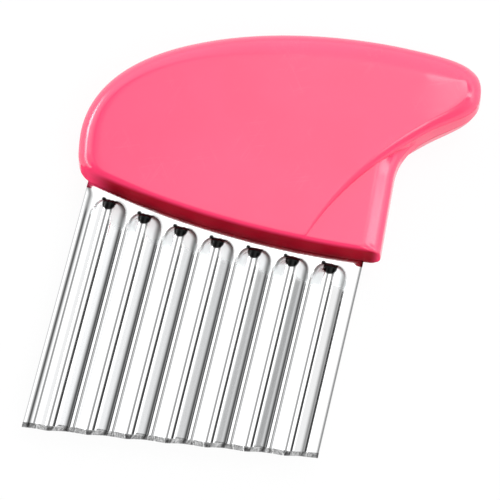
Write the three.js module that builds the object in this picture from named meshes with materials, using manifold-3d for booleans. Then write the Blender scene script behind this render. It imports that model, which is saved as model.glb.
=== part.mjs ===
// Crinkle cutter: a corrugated steel blade clamped between two moulded handle halves.
// Millimetres. X runs across the ribs, Y along them towards the handle, +Z out of the front face.
// The drawing datum is the middle rib's crest line (X 0), the lowest point of the handle's
// lower edge (Y 0) and the parting plane of the two halves (Z 0).

import * as THREE from "three";
import { mergeVertices } from "three/addons/utils/BufferGeometryUtils.js";
import Module from "manifold-3d";

const wasm = await Module();
wasm.setup();

// Fits
const CLEARANCE = 0.3;
const SEAM_GAP = 0.3;

// Blade sheet
const SHEET = 0.7;
const RIB_COUNT = 7;
const RIB_PITCH = 8.43;
const RIB_HEIGHT = 3.4;
const CREST_WIDTH = 1.1;
const VALLEY_WIDTH = 1.6;
const BEND_RUN = 0.5;
const LEFT_FLANGE = 2.2;
const RIGHT_FLANGE = 2.3;
const BLADE_REACH = 47.1;
const EDGE_SLANT = THREE.MathUtils.degToRad(7.3);
const EDGE_LEAN = THREE.MathUtils.degToRad(8);
const GROUND_EDGE = 1.3;
const EDGE_THICKNESS = 0.2;
const RIB_TOP_GAP = 1.6;
const TANG_SHOULDER = 4.9;
const TANG_MARGIN = 6;
const TANG_CORNER = 3;
const FLANGE_PROUD = 0.9;

// Handle outline on the parting plane. Its sides stand out from the blade's sides and run on
// below the lower edge, which trims them.
const BACK_OVERHANG = 3.95;
const BACK_HEIGHT = 15.3;
const BACK_RISE = 23.4;
const BACK_FALL = 5.7;
const BACK_TUCK = 4.7;
const NECK_OVERHANG = 2.65;
const NECK_HEIGHT = 19.3;
const NECK_RISE = 12.9;
const NECK_FLARE = 1.2;
const NOSE_OVERHANG = 14.6;
const NOSE_HEIGHT = 41.1;
const NOSE_RISE = 9;
const NOSE_FALL = 7.2;
const CROWN_SETBACK = 3.5;
const CROWN_HEIGHT = 49.8;
const CROWN_RUN = 29;
const CROWN_TO_NOSE = 11.5;
const FOOT_DROP = 4;
const LOWER_ARC_RADIUS = 213;
const LOWER_ARC_SETBACK = 23.1;
const LOWER_DRAFT = THREE.MathUtils.degToRad(8);

// Handle section
const HANDLE_THICKNESS = 15;
const WALL = 2.6;
const DRAFT = THREE.MathUtils.degToRad(5);
const ROUND_DEPTH_SHARE = 0.74;
const LEAST_ROUND = 0.3;
const NECK_ROUND = 3.3;
const NOSE_ROUND = 2.8;
const CROWN_ROUND = 7.5;
const BACK_ROUND = 3.8;

// Crease where the raised palm body stands above the neck
const CREASE_SETBACK = 16.8;
const CREASE_LEAN = 3.3;
const CREASE_RISE = 16;
const CREASE_JOIN = 0.4;
const CREASE_RUN = 10.5;
const CREASE_ROUND = 0.6;
const STEP_AT_LOWER_EDGE = 0.2;
const STEP_AT_NECK = 1;

// Screws
const SCREW_SHANK = 2.6;
const SCREW_HEAD = 5;
const SCREW_HEAD_HEIGHT = 1.9;
const SCREW_HEAD_BEVEL = 0.75;
const SCREW_TIP = 1.2;
const SCREW_COVER = 3.5;
const SCREW_DRIVE_LENGTH = 3;
const SCREW_DRIVE_WIDTH = 0.7;
const SCREW_DRIVE_DEPTH = 1.1;
const HEAD_SINK = 1.1;
const POST_WALL = 1.8;
const LEFT_SCREW_INSET = 14;
const RIGHT_SCREW_INSET = 20.4;
const TANG_SCREW_RISE = 8;
const NOSE_SCREW_SETBACK = 12;
const NOSE_SCREW_DROP = 1.1;

// Facets
const ROUND_STEPS = 4;
const CIRCLE_STEPS = 24;
const RIB_TOP_STEPS = 7;
const LOWER_ARC_STEPS = 16;
const OUTLINE_FACET = 2.8;
const SLOPE_PROBE = 0.001;
const WELD_DISTANCE = 0.0001;

// Places worked out from the sizes above
const RIB_MIDDLE = (RIB_COUNT - 1) / 2;
const SLOPE_RUN = (RIB_PITCH - CREST_WIDTH - VALLEY_WIDTH) / 2;
const RIB_HALF = CREST_WIDTH / 2 + SLOPE_RUN;
const VALLEY_LEVEL = -RIB_HEIGHT / 2;
const BLADE_LEFT = -(RIB_COUNT * RIB_PITCH) / 2 - LEFT_FLANGE;
const BLADE_RIGHT = (RIB_COUNT * RIB_PITCH) / 2 + RIGHT_FLANGE;
const TANG_LEFT = BLADE_LEFT + TANG_SHOULDER;
const TANG_RIGHT = BLADE_RIGHT - TANG_SHOULDER;
const TANG_DEPTH = TANG_SCREW_RISE + TANG_MARGIN;
const TANG_FACE = VALLEY_LEVEL + SHEET / 2;
const TANG_BACK = VALLEY_LEVEL - SHEET / 2;
const HALF_THICKNESS = HANDLE_THICKNESS / 2;
const BACK = new THREE.Vector2(BLADE_LEFT - BACK_OVERHANG, BACK_HEIGHT);
const BACK_FOOT = new THREE.Vector2(BACK.x + BACK_TUCK, -FOOT_DROP);
const NECK = new THREE.Vector2(BLADE_RIGHT + NECK_OVERHANG, NECK_HEIGHT);
const NECK_FOOT = new THREE.Vector2(NECK.x + NECK_FLARE, -FOOT_DROP);
const NOSE = new THREE.Vector2(NECK.x + NOSE_OVERHANG, NOSE_HEIGHT);
const CROWN = new THREE.Vector2(NECK.x - CROWN_SETBACK, CROWN_HEIGHT);
const CREASE_FOOT = new THREE.Vector2(NECK.x - CREASE_SETBACK, -FOOT_DROP);
const LOWER_ARC_X = NECK.x - LOWER_ARC_SETBACK;
const HEAD_LEVEL = -HALF_THICKNESS + HEAD_SINK + SCREW_HEAD_HEIGHT;
const SCREW_LENGTH = HALF_THICKNESS - SCREW_COVER - HEAD_LEVEL;
const POST_ROOT = HALF_THICKNESS - WALL / 2;
const SHANK_BORE = SCREW_SHANK + 2 * CLEARANCE;
const HEAD_BORE = SCREW_HEAD + 2 * CLEARANCE;
const FAR = 2 * (NOSE.x - BACK.x);

const lowerArcY = (x) =>
  LOWER_ARC_RADIUS - Math.sqrt(LOWER_ARC_RADIUS ** 2 - (x - LOWER_ARC_X) ** 2);

const tangScrews = [BLADE_LEFT + LEFT_SCREW_INSET, BLADE_RIGHT - RIGHT_SCREW_INSET].map(
  (x) => new THREE.Vector2(x, lowerArcY(x) + TANG_SCREW_RISE),
);
const noseScrew = new THREE.Vector2(NOSE.x - NOSE_SCREW_SETBACK, NOSE.y - NOSE_SCREW_DROP);

// Every screw with the levels where its front post and its back post end.
const screwSeats = [
  { name: "screw_left", centre: tangScrews[0], frontEnd: TANG_FACE, backEnd: TANG_BACK },
  { name: "screw_right", centre: tangScrews[1], frontEnd: TANG_FACE, backEnd: TANG_BACK },
  { name: "screw_nose", centre: noseScrew, frontEnd: 0, backEnd: 0 },
];

// Meshes to solids and back

function solidFrom(geometry) {
  const bare = geometry.clone();
  bare.deleteAttribute("normal");
  bare.deleteAttribute("uv");
  const merged = mergeVertices(bare, WELD_DISTANCE);
  return new wasm.Manifold(
    new wasm.Mesh({
      numProp: 3,
      vertProperties: new Float32Array(merged.attributes.position.array),
      triVerts: new Uint32Array(merged.index.array),
    }),
  );
}

function geometryFrom(solid) {
  const mesh = solid.getMesh();
  const geometry = new THREE.BufferGeometry();
  geometry.setAttribute("position", new THREE.BufferAttribute(mesh.vertProperties, 3));
  geometry.setIndex(new THREE.BufferAttribute(mesh.triVerts, 1));
  geometry.computeVertexNormals();
  return geometry;
}

function skinFrom(points, triangles) {
  const geometry = new THREE.BufferGeometry().setFromPoints(points);
  geometry.setIndex(triangles);
  return geometry;
}

function prism(shape, low, high) {
  const geometry = new THREE.ExtrudeGeometry(shape, {
    depth: high - low,
    bevelEnabled: false,
    curveSegments: CIRCLE_STEPS,
  });
  return solidFrom(geometry.translate(0, 0, low));
}

function rod(centre, diameter, low, high) {
  const geometry = new THREE.CylinderGeometry(diameter / 2, diameter / 2, high - low, CIRCLE_STEPS);
  geometry.rotateX(Math.PI / 2);
  return solidFrom(geometry.translate(centre.x, centre.y, (low + high) / 2));
}

function block(minimum, maximum) {
  const size = new THREE.Vector3().subVectors(maximum, minimum);
  const middle = new THREE.Vector3().addVectors(minimum, maximum).multiplyScalar(0.5);
  const geometry = new THREE.BoxGeometry(size.x, size.y, size.z);
  return solidFrom(geometry.translate(middle.x, middle.y, middle.z));
}

// Blade sheet: closed ribs pressed up from a flat sheet, the two sides left as open flanges

// The cutting edge slants across the blade and leans, so that the crests reach a little further.
const edgeY = (x) =>
  x * Math.tan(EDGE_SLANT) - BLADE_REACH - sheetLevel(x, -BLADE_REACH) * Math.tan(EDGE_LEAN);

// A straight ramp from 0 to 1 whose two corners are rounded over BEND_RUN to each side.
function ramp(run) {
  const bend = BEND_RUN / SLOPE_RUN;
  const t = THREE.MathUtils.clamp(run / SLOPE_RUN, -bend, 1 + bend);
  if (t < bend) return (t + bend) ** 2 / (4 * bend);
  if (t > 1 - bend) return 1 - (1 + bend - t) ** 2 / (4 * bend);
  return t;
}

const crestX = (rib) => (rib - RIB_MIDDLE) * RIB_PITCH;

// Height of the middle of the sheet. Past the outer ribs it rises again into the flanges.
function sheetLevel(x, y) {
  const rib = Math.round(x / RIB_PITCH + RIB_MIDDLE);
  const closed = rib >= 0 && rib < RIB_COUNT;
  const spineEnd = lowerArcY(crestX(rib)) - RIB_TOP_GAP - RIB_HALF;
  const past = closed ? Math.max(0, y - spineEnd) : 0;
  const fromSpine = Math.hypot(x - crestX(rib), past);
  return VALLEY_LEVEL + RIB_HEIGHT * (1 - ramp(fromSpine - CREST_WIDTH / 2));
}

function sheetPoint(x, y, offset) {
  const riseX = sheetLevel(x + SLOPE_PROBE, y) - sheetLevel(x - SLOPE_PROBE, y);
  const riseY = sheetLevel(x, y + SLOPE_PROBE) - sheetLevel(x, y - SLOPE_PROBE);
  const normal = new THREE.Vector3(-riseX, -riseY, 2 * SLOPE_PROBE).normalize();
  return new THREE.Vector3(x, y, sheetLevel(x, y)).addScaledVector(normal, offset);
}

// Grid columns: the bends of every rib, then the flanges out to the sheet's two sides.
function sheetColumns(sideGap) {
  const left = BLADE_LEFT - sideGap;
  const right = BLADE_RIGHT + sideGap;
  const bends = [CREST_WIDTH / 2, RIB_HALF].flatMap((r) => [r - BEND_RUN, r, r + BEND_RUN]);
  const perRib = [0, ...bends, ...bends.map((r) => -r), RIB_PITCH / 2];
  const columns = [left, right];
  for (let rib = -1; rib <= RIB_COUNT; rib++) {
    columns.push(...perRib.map((r) => crestX(rib) + r));
  }
  return columns.filter((x) => x >= left && x <= right).sort((a, b) => a - b);
}

// Grid rows: the ground edge, the straight ribs, their rounded tops, then on into the handle.
function sheetRows(x, endGap, depth) {
  const topRun = RIB_HALF + 2 * BEND_RUN;
  const ribTop = lowerArcY(x) - RIB_TOP_GAP + BEND_RUN;
  const rows = [edgeY(x) - endGap, edgeY(x) + GROUND_EDGE];
  for (let i = RIB_TOP_STEPS; i >= 0; i--) {
    rows.push(ribTop - (topRun * i) / RIB_TOP_STEPS);
  }
  rows.push(lowerArcY(x) + depth + endGap);
  return rows;
}

// A solid between two skins over the sheet's grid, `gap` larger than the sheet all round and
// `depth` deep in the handle. Each skin gives a point for x, y and row.
function sheetSolid(gap, depth, lowSkin, highSkin) {
  const columns = sheetColumns(gap);
  const rowCount = sheetRows(0, gap, depth).length;
  const points = [];
  for (const skin of [lowSkin, highSkin]) {
    for (const x of columns) {
      sheetRows(x, gap, depth).forEach((y, row) => points.push(skin(x, y, row)));
    }
  }
  const layer = columns.length * rowCount;
  const at = (column, row, side) => side * layer + column * rowCount + row;
  const triangles = [];
  const quad = (a, b, c, d) => triangles.push(a, b, c, a, c, d);
  for (let i = 0; i + 1 < columns.length; i++) {
    for (let j = 0; j + 1 < rowCount; j++) {
      quad(at(i, j, 0), at(i, j + 1, 0), at(i + 1, j + 1, 0), at(i + 1, j, 0));
      quad(at(i, j, 1), at(i + 1, j, 1), at(i + 1, j + 1, 1), at(i, j + 1, 1));
    }
    quad(at(i, 0, 0), at(i + 1, 0, 0), at(i + 1, 0, 1), at(i, 0, 1));
    const last = rowCount - 1;
    quad(at(i, last, 0), at(i, last, 1), at(i + 1, last, 1), at(i + 1, last, 0));
  }
  for (let j = 0; j + 1 < rowCount; j++) {
    const last = columns.length - 1;
    quad(at(0, j, 0), at(0, j, 1), at(0, j + 1, 1), at(0, j + 1, 0));
    quad(at(last, j, 0), at(last, j + 1, 0), at(last, j + 1, 1), at(last, j, 1));
  }
  return solidFrom(skinFrom(points, triangles));
}

// Plan of the sheet: full width up to the flange seats, then the narrower tang with its holes.
function sheetPlan() {
  const left = BLADE_LEFT - SHEET;
  const right = BLADE_RIGHT + SHEET;
  const below = -2 * BLADE_REACH;
  const seatY = (x) => lowerArcY(x) + WALL + FLANGE_PROUD;
  const topY = (x) => lowerArcY(x) + TANG_DEPTH;
  const shape = new THREE.Shape();
  shape.moveTo(left, below);
  shape.lineTo(right, below);
  shape.lineTo(right, seatY(right));
  shape.lineTo(TANG_RIGHT, seatY(TANG_RIGHT));
  shape.lineTo(TANG_RIGHT, topY(TANG_RIGHT) - TANG_CORNER);
  shape.quadraticCurveTo(TANG_RIGHT, topY(TANG_RIGHT), TANG_RIGHT - TANG_CORNER, topY(TANG_RIGHT));
  shape.lineTo(TANG_LEFT + TANG_CORNER, topY(TANG_LEFT));
  shape.quadraticCurveTo(TANG_LEFT, topY(TANG_LEFT), TANG_LEFT, topY(TANG_LEFT) - TANG_CORNER);
  shape.lineTo(TANG_LEFT, seatY(TANG_LEFT));
  shape.lineTo(left, seatY(left));
  shape.closePath();
  for (const centre of tangScrews) {
    const hole = new THREE.Path();
    hole.absarc(centre.x, centre.y, SHANK_BORE / 2, 0, 2 * Math.PI, true);
    shape.holes.push(hole);
  }
  return shape;
}

function makeBlade() {
  const back = (x, y) => sheetPoint(x, y, -SHEET / 2);
  const front = (x, y, row) => sheetPoint(x, y, row ? SHEET / 2 : EDGE_THICKNESS - SHEET / 2);
  const sheet = sheetSolid(0, TANG_DEPTH, back, front);
  return sheet.intersect(prism(sheetPlan(), -HALF_THICKNESS, HALF_THICKNESS));
}

// Handle outlines: tangent curves counter-clockwise from a foot below the lower edge, each with
// the width of the edge rounding at its start and its end.

const neckRun = new THREE.Vector2().subVectors(NECK, NECK_FOOT).setLength(NECK_RISE);
const neckLine = new THREE.LineCurve(NECK_FOOT, NECK);
const underNose = new THREE.CubicBezierCurve(
  NECK,
  new THREE.Vector2().addVectors(NECK, neckRun),
  new THREE.Vector2(NOSE.x, NOSE.y - NOSE_FALL),
  NOSE,
);
const overNose = new THREE.CubicBezierCurve(
  NOSE,
  new THREE.Vector2(NOSE.x, NOSE.y + NOSE_RISE),
  new THREE.Vector2(CROWN.x + CROWN_TO_NOSE, CROWN.y),
  CROWN,
);
const crown = new THREE.CubicBezierCurve(
  CROWN,
  new THREE.Vector2(CROWN.x - CROWN_RUN, CROWN.y),
  new THREE.Vector2(BACK.x, BACK.y + BACK_RISE),
  BACK,
);
const backEnd = new THREE.QuadraticBezierCurve(
  BACK,
  new THREE.Vector2(BACK.x, BACK.y - BACK_FALL),
  BACK_FOOT,
);
const creaseEnd = underNose.getPoint(CREASE_JOIN);
const crease = new THREE.CubicBezierCurve(
  CREASE_FOOT,
  new THREE.Vector2(CREASE_FOOT.x + CREASE_LEAN, CREASE_FOOT.y + CREASE_RISE),
  creaseEnd.clone().addScaledVector(underNose.getTangent(CREASE_JOIN), -CREASE_RUN),
  creaseEnd,
);

// Sampled curve: a point, its inward direction and the rounding width there.
function curveSamples(curve, from, to, startRound, endRound) {
  const length = curve.getLength() * (to - from);
  const steps = curve.isLineCurve ? 1 : Math.ceil(length / OUTLINE_FACET);
  return Array.from({ length: steps }, (_, i) => {
    const t = THREE.MathUtils.lerp(from, to, i / steps);
    const tangent = curve.getTangent(t);
    return {
      point: curve.getPoint(t),
      inward: new THREE.Vector2(-tangent.y, tangent.x),
      round: THREE.MathUtils.lerp(startRound, endRound, THREE.MathUtils.smoothstep(i / steps, 0, 1)),
    };
  });
}

const upperSamples = [
  ...curveSamples(underNose, CREASE_JOIN, 1, NECK_ROUND, NOSE_ROUND),
  ...curveSamples(overNose, 0, 1, NOSE_ROUND, CROWN_ROUND),
  ...curveSamples(crown, 0, 1, CROWN_ROUND, BACK_ROUND),
  ...curveSamples(backEnd, 0, 1, BACK_ROUND, BACK_ROUND),
];
const neckSamples = [
  ...curveSamples(neckLine, 0, 1, NECK_ROUND, NECK_ROUND),
  ...curveSamples(underNose, 0, CREASE_JOIN, NECK_ROUND, NECK_ROUND),
  ...upperSamples,
];
const palmSamples = [...curveSamples(crease, 0, 1, CREASE_ROUND, NECK_ROUND), ...upperSamples];

// A closed stack of rings, each a counter-clockwise list of points above the one before.
function stack(rings) {
  const count = rings[0].length;
  const triangles = [];
  for (let r = 0; r + 1 < rings.length; r++) {
    for (let i = 0; i < count; i++) {
      const a = r * count + i;
      const b = r * count + ((i + 1) % count);
      triangles.push(a, b, b + count, a, b + count, a + count);
    }
  }
  const top = (rings.length - 1) * count;
  for (const [a, b, c] of THREE.ShapeUtils.triangulateShape(rings[0], [])) {
    triangles.push(a, c, b);
  }
  for (const [a, b, c] of THREE.ShapeUtils.triangulateShape(rings[rings.length - 1], [])) {
    triangles.push(top + a, top + b, top + c);
  }
  return solidFrom(skinFrom(rings.flat(), triangles));
}

// One ring of a handle body: `turn` goes from 0 at the foot of the edge rounding to a right
// angle at the face; `side` is 1 on the front and -1 on the back.
function roundedRing(samples, inset, faceLevel, side, turn) {
  return samples.map(({ point, inward, round }) => {
    const width = Math.max(round - inset, LEAST_ROUND);
    const depth = Math.min(width, faceLevel(point) * ROUND_DEPTH_SHARE);
    const slope = (HALF_THICKNESS - depth) * Math.tan(DRAFT);
    const run = inset + slope + width * (1 - Math.cos(turn));
    const p = point.clone().addScaledVector(inward, run);
    const z = faceLevel(p) - depth * (1 - Math.sin(turn));
    return new THREE.Vector3(p.x, p.y, side * z);
  });
}

// Everything above the handle's lower edge, which leans in from the parting plane to both faces.
function aboveLowerEdge(inset) {
  const lean = HANDLE_THICKNESS * Math.tan(LOWER_DRAFT);
  const ring = (z, rise) => {
    const points = [];
    for (let i = 0; i <= LOWER_ARC_STEPS; i++) {
      const x = THREE.MathUtils.lerp(BACK.x, NOSE.x, i / LOWER_ARC_STEPS);
      points.push(new THREE.Vector3(x, lowerArcY(x) + inset + rise, z));
    }
    points.push(new THREE.Vector3(FAR, FAR, z), new THREE.Vector3(-FAR, FAR, z));
    return points;
  };
  return stack([ring(-HANDLE_THICKNESS, lean), ring(0, 0), ring(HANDLE_THICKNESS, lean)]);
}

// A closed body over an outline drawn in by `inset`, alike on both sides of the parting plane.
// faceLevel gives the height of its front face.
function outlineBody(samples, inset, faceLevel) {
  const turns = Array.from({ length: ROUND_STEPS + 1 }, (_, i) => ((i / ROUND_STEPS) * Math.PI) / 2);
  const parting = samples.map(({ point, inward }) => {
    const p = point.clone().addScaledVector(inward, inset);
    return new THREE.Vector3(p.x, p.y, 0);
  });
  return stack([
    ...turns.toReversed().map((turn) => roundedRing(samples, inset, faceLevel, -1, turn)),
    parting,
    ...turns.map((turn) => roundedRing(samples, inset, faceLevel, 1, turn)),
  ]);
}

// The neck's face sinks below the palm's, more towards the nose.
function handleBody(inset) {
  const palmLevel = () => HALF_THICKNESS - inset;
  const neckLevel = (p) => {
    const step = THREE.MathUtils.lerp(STEP_AT_LOWER_EDGE, STEP_AT_NECK, p.y / NECK.y);
    return HALF_THICKNESS - inset - step;
  };
  const palm = outlineBody(palmSamples, inset, palmLevel);
  const neck = outlineBody(neckSamples, inset, neckLevel);
  return palm.add(neck).intersect(aboveLowerEdge(inset));
}

// The halves part on Z 0, but along the blade they part on the sheet itself.

const slotDepth = WALL + FLANGE_PROUD;

function aboveSheet(gap) {
  const middle = (x, y) => sheetPoint(x, y, 0);
  const roof = (x, y) => new THREE.Vector3(x, y, HANDLE_THICKNESS);
  return sheetSolid(gap, slotDepth, middle, roof);
}

function sheetSlot() {
  const reach = SHEET / 2 + CLEARANCE;
  const back = (x, y) => sheetPoint(x, y, -reach);
  const front = (x, y) => sheetPoint(x, y, reach);
  return sheetSolid(CLEARANCE, slotDepth, back, front);
}

function makeFrontShell(walls, slot) {
  const upper = block(new THREE.Vector3(-FAR, -FAR, SEAM_GAP / 2), new THREE.Vector3(FAR, FAR, FAR));
  let shell = walls.intersect(upper.add(aboveSheet(0))).subtract(slot);
  for (const { centre, frontEnd } of screwSeats) {
    const boreEnd = HEAD_LEVEL + SCREW_LENGTH + CLEARANCE;
    shell = shell.add(rod(centre, SHANK_BORE + 2 * POST_WALL, frontEnd, POST_ROOT));
    shell = shell.subtract(rod(centre, SHANK_BORE, -HANDLE_THICKNESS, boreEnd));
  }
  return shell;
}

function makeBackShell(walls, slot) {
  const lower = block(new THREE.Vector3(-FAR, -FAR, -FAR), new THREE.Vector3(FAR, FAR, -SEAM_GAP / 2));
  let shell = walls.intersect(lower).subtract(aboveSheet(CLEARANCE)).subtract(slot);
  for (const { centre, backEnd } of screwSeats) {
    shell = shell.add(rod(centre, HEAD_BORE + 2 * POST_WALL, -POST_ROOT, backEnd));
    shell = shell.subtract(rod(centre, SHANK_BORE, -HANDLE_THICKNESS, HANDLE_THICKNESS));
    shell = shell.subtract(rod(centre, HEAD_BORE, -HANDLE_THICKNESS, HEAD_LEVEL));
  }
  return shell;
}

function makeScrew({ centre }) {
  const shank = SCREW_SHANK / 2;
  const head = SCREW_HEAD / 2;
  const profile = [
    new THREE.Vector2(0, -SCREW_HEAD_HEIGHT),
    new THREE.Vector2(head - SCREW_HEAD_BEVEL, -SCREW_HEAD_HEIGHT),
    new THREE.Vector2(head, SCREW_HEAD_BEVEL - SCREW_HEAD_HEIGHT),
    new THREE.Vector2(head, 0),
    new THREE.Vector2(shank, 0),
    new THREE.Vector2(shank, SCREW_LENGTH - SCREW_TIP),
    new THREE.Vector2(0, SCREW_LENGTH),
  ];
  const turned = new THREE.LatheGeometry(profile, CIRCLE_STEPS).rotateX(Math.PI / 2);
  let screw = solidFrom(turned);
  for (const [lengthX, lengthY] of [
    [SCREW_DRIVE_LENGTH, SCREW_DRIVE_WIDTH],
    [SCREW_DRIVE_WIDTH, SCREW_DRIVE_LENGTH],
  ]) {
    screw = screw.subtract(
      block(
        new THREE.Vector3(-lengthX / 2, -lengthY / 2, -SCREW_LENGTH),
        new THREE.Vector3(lengthX / 2, lengthY / 2, SCREW_DRIVE_DEPTH - SCREW_HEAD_HEIGHT),
      ),
    );
  }
  return screw.translate([centre.x, centre.y, HEAD_LEVEL]);
}

// Assembly

const steel = { color: 0xc8cacc, roughness: 0.22, metalness: 1 };
const plastic = { color: 0xff6890, roughness: 0.3, metalness: 0 };
const zinc = { color: 0xb4b6b8, roughness: 0.4, metalness: 1 };

function part(name, solid, look) {
  const mesh = new THREE.Mesh(geometryFrom(solid), new THREE.MeshStandardMaterial(look));
  mesh.name = name;
  return mesh;
}

const walls = handleBody(0).subtract(handleBody(WALL));
const slot = sheetSlot();
const cutter = new THREE.Group();
cutter.name = "crinkle_cutter";
cutter.add(part("blade", makeBlade(), steel));
cutter.add(part("front_shell", makeFrontShell(walls, slot), plastic));
cutter.add(part("back_shell", makeBackShell(walls, slot), plastic));
for (const seat of screwSeats) cutter.add(part(seat.name, makeScrew(seat), zinc));

// The part lies on its back face, with the origin under the middle of its bounding box.
const box = new THREE.Box3().setFromObject(cutter);
const middle = box.getCenter(new THREE.Vector3());
cutter.position.set(-middle.x, -middle.y, -box.min.z);
cutter.updateMatrixWorld(true);

export default cutter;
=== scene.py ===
# %% [markdown]
# # A crinkle cutter, dressed in Blender
# The tool is a corrugated steel blade clamped in a moulded pink palm handle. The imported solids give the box
# that it fits. This lesson rebuilds their faceted surfaces as smooth ones and gives them real finishes.
# Lengths in the lesson are millimetres on the maker's drawing: X 0 is the middle rib, Y 0 is the lowest
# point of the handle's lower edge and Z 0 is the plane where the two handle halves meet.

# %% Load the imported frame
import math
from types import SimpleNamespace

import bpy
import numpy as np
from mathutils import Matrix, Vector


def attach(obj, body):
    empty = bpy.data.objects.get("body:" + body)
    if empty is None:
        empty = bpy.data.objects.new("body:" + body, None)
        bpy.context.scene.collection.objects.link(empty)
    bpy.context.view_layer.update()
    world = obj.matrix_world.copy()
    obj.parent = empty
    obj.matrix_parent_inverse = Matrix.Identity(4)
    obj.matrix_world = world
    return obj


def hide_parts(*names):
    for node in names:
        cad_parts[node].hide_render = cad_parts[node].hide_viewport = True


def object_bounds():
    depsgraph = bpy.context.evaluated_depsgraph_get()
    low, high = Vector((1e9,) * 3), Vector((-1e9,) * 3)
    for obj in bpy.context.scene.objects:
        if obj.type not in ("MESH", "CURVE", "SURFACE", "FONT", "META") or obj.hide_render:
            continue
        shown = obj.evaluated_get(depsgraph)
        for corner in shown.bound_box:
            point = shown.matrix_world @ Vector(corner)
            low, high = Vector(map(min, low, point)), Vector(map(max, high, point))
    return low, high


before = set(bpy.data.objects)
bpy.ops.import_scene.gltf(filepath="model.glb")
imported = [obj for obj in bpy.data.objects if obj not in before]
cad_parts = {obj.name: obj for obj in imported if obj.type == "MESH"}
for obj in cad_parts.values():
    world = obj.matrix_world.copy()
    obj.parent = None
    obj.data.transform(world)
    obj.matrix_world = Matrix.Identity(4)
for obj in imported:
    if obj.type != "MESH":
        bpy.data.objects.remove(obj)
cad_low, cad_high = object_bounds()
MM = 0.001
print("solids from", [round(v, 4) for v in cad_low], "to", [round(v, 4) for v in cad_high])

# %% [markdown]
# ## From the drawing to the scene
# Every piece is drawn in millimetres and lands in the row frame in metres. The nose tip, the crown and the
# handle's two faces touch the box of the solids, so the drawing is hung on that box.

# %% Drawing datum
NOSE_X = 49.055
CROWN_Y = 49.8
HALF_THICKNESS = 7.5
datum = Vector((cad_high.x - NOSE_X * MM, cad_high.y - CROWN_Y * MM, HALF_THICKNESS * MM))


def to_scene(points):
    return np.asarray(points, float) * MM + np.array(datum)


print("drawing datum at", [round(v * 1000, 2) for v in datum], "mm")

# %% [markdown]
# ## Camera
# The photograph looks down on the tool, a little from below and from the right, with the ribs leaning.
# The angles come from a camera fitted to the rib crests and the handle's outline, so they are set as a
# distance, a tilt, a side step and a roll round the point at the middle of the picture.

# %% Camera
VIEW_POINT = (7.085, -2.45, 0.0)
VIEW_DISTANCE = 350.4
VIEW_TILT = math.radians(11.147)
VIEW_SIDE = math.radians(4.028)
VIEW_ROLL = math.radians(13.936)
LENS_LENGTH = 115.2
SENSOR_WIDTH = 36.0
NEAREST_SEEN = 0.01

aim = Vector(to_scene(VIEW_POINT))
away = Vector((math.sin(VIEW_SIDE), -math.tan(VIEW_TILT), math.cos(VIEW_SIDE))).normalized()
level_axis = Vector((math.cos(VIEW_SIDE), 0, -math.sin(VIEW_SIDE)))
rise_axis = away.cross(level_axis)
right_axis = math.cos(VIEW_ROLL) * level_axis + math.sin(VIEW_ROLL) * rise_axis
up_axis = math.cos(VIEW_ROLL) * rise_axis - math.sin(VIEW_ROLL) * level_axis

camera = bpy.data.objects.new("camera", bpy.data.cameras.new("camera"))
bpy.context.scene.collection.objects.link(camera)
camera.data.lens = LENS_LENGTH
camera.data.sensor_width = SENSOR_WIDTH
camera.data.clip_start = NEAREST_SEEN
turn = Matrix((right_axis, up_axis, away)).transposed().to_4x4()
camera.matrix_world = Matrix.Translation(aim + away * VIEW_DISTANCE * MM) @ turn
bpy.context.scene.camera = camera
bpy.context.scene.view_settings.view_transform = "Standard"
print("camera looks at", [round(v, 4) for v in aim])

# %% [markdown]
# ## A helper for node trees
# Materials, light and Geometry Nodes are all trees of nodes. A short helper adds a node, fills its inputs
# and links it, so that each tree below reads like a sum. They could be clicked together in the editor
# too, but a script can be read, compared and run again.


# %% Node helper
class Wiring:
    def __init__(self, tree):
        self.tree = tree

    def add(self, kind, inputs=None, **settings):
        node = self.tree.nodes.new(kind)
        for name, value in settings.items():
            setattr(node, name, value)
        for name, value in (inputs or {}).items():
            self.put(node.inputs[name], value)
        return node

    def put(self, socket, value):
        if isinstance(value, bpy.types.NodeSocket):
            self.tree.links.new(value, socket)
        else:
            socket.default_value = value

    def math(self, operation, *values):
        node = self.add("ShaderNodeMath", operation=operation)
        for socket, value in zip(node.inputs, values):
            self.put(socket, value)
        return node.outputs[0]

    def span(self, value, from_low, from_high, to_low, to_high, smooth=False):
        limits = {"Value": value, "From Min": from_low, "From Max": from_high}
        limits.update({"To Min": to_low, "To Max": to_high})
        kind = "SMOOTHSTEP" if smooth else "LINEAR"
        return self.add("ShaderNodeMapRange", limits, interpolation_type=kind).outputs[0]


def new_material(name):
    material = bpy.data.materials.new(name)
    material.use_nodes = True
    material.node_tree.nodes.clear()
    wiring = Wiring(material.node_tree)
    bsdf = wiring.add("ShaderNodeBsdfPrincipled")
    wiring.add("ShaderNodeOutputMaterial", {"Surface": bsdf.outputs[0]})
    return material, wiring, bsdf


print("node helper ready")

# %% [markdown]
# ## Shared surface effects
# Two effects turn up on every part of a tool that has been handled: a fine grain, left by the mould or
# the rolling mill, and hairline scratches. Pictures of worn surfaces could give both, but they would need
# files and would repeat. Here each one is a shader node group made of noise, with named inputs, so steel,
# plastic and zinc use it with their own sizes. Both read the coordinates that the material hands them.

# %% Shader groups
GRAIN_DETAIL = {"Fine": 3.0, "Broad": 4.0}
SCRATCH_WAYS = (0.35, 1.2, 2.5)
SCRATCH_WIDTH = 0.012
PATCH_SCALE = 0.12
PATCH_EDGE = (0.5, 0.68)


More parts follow.
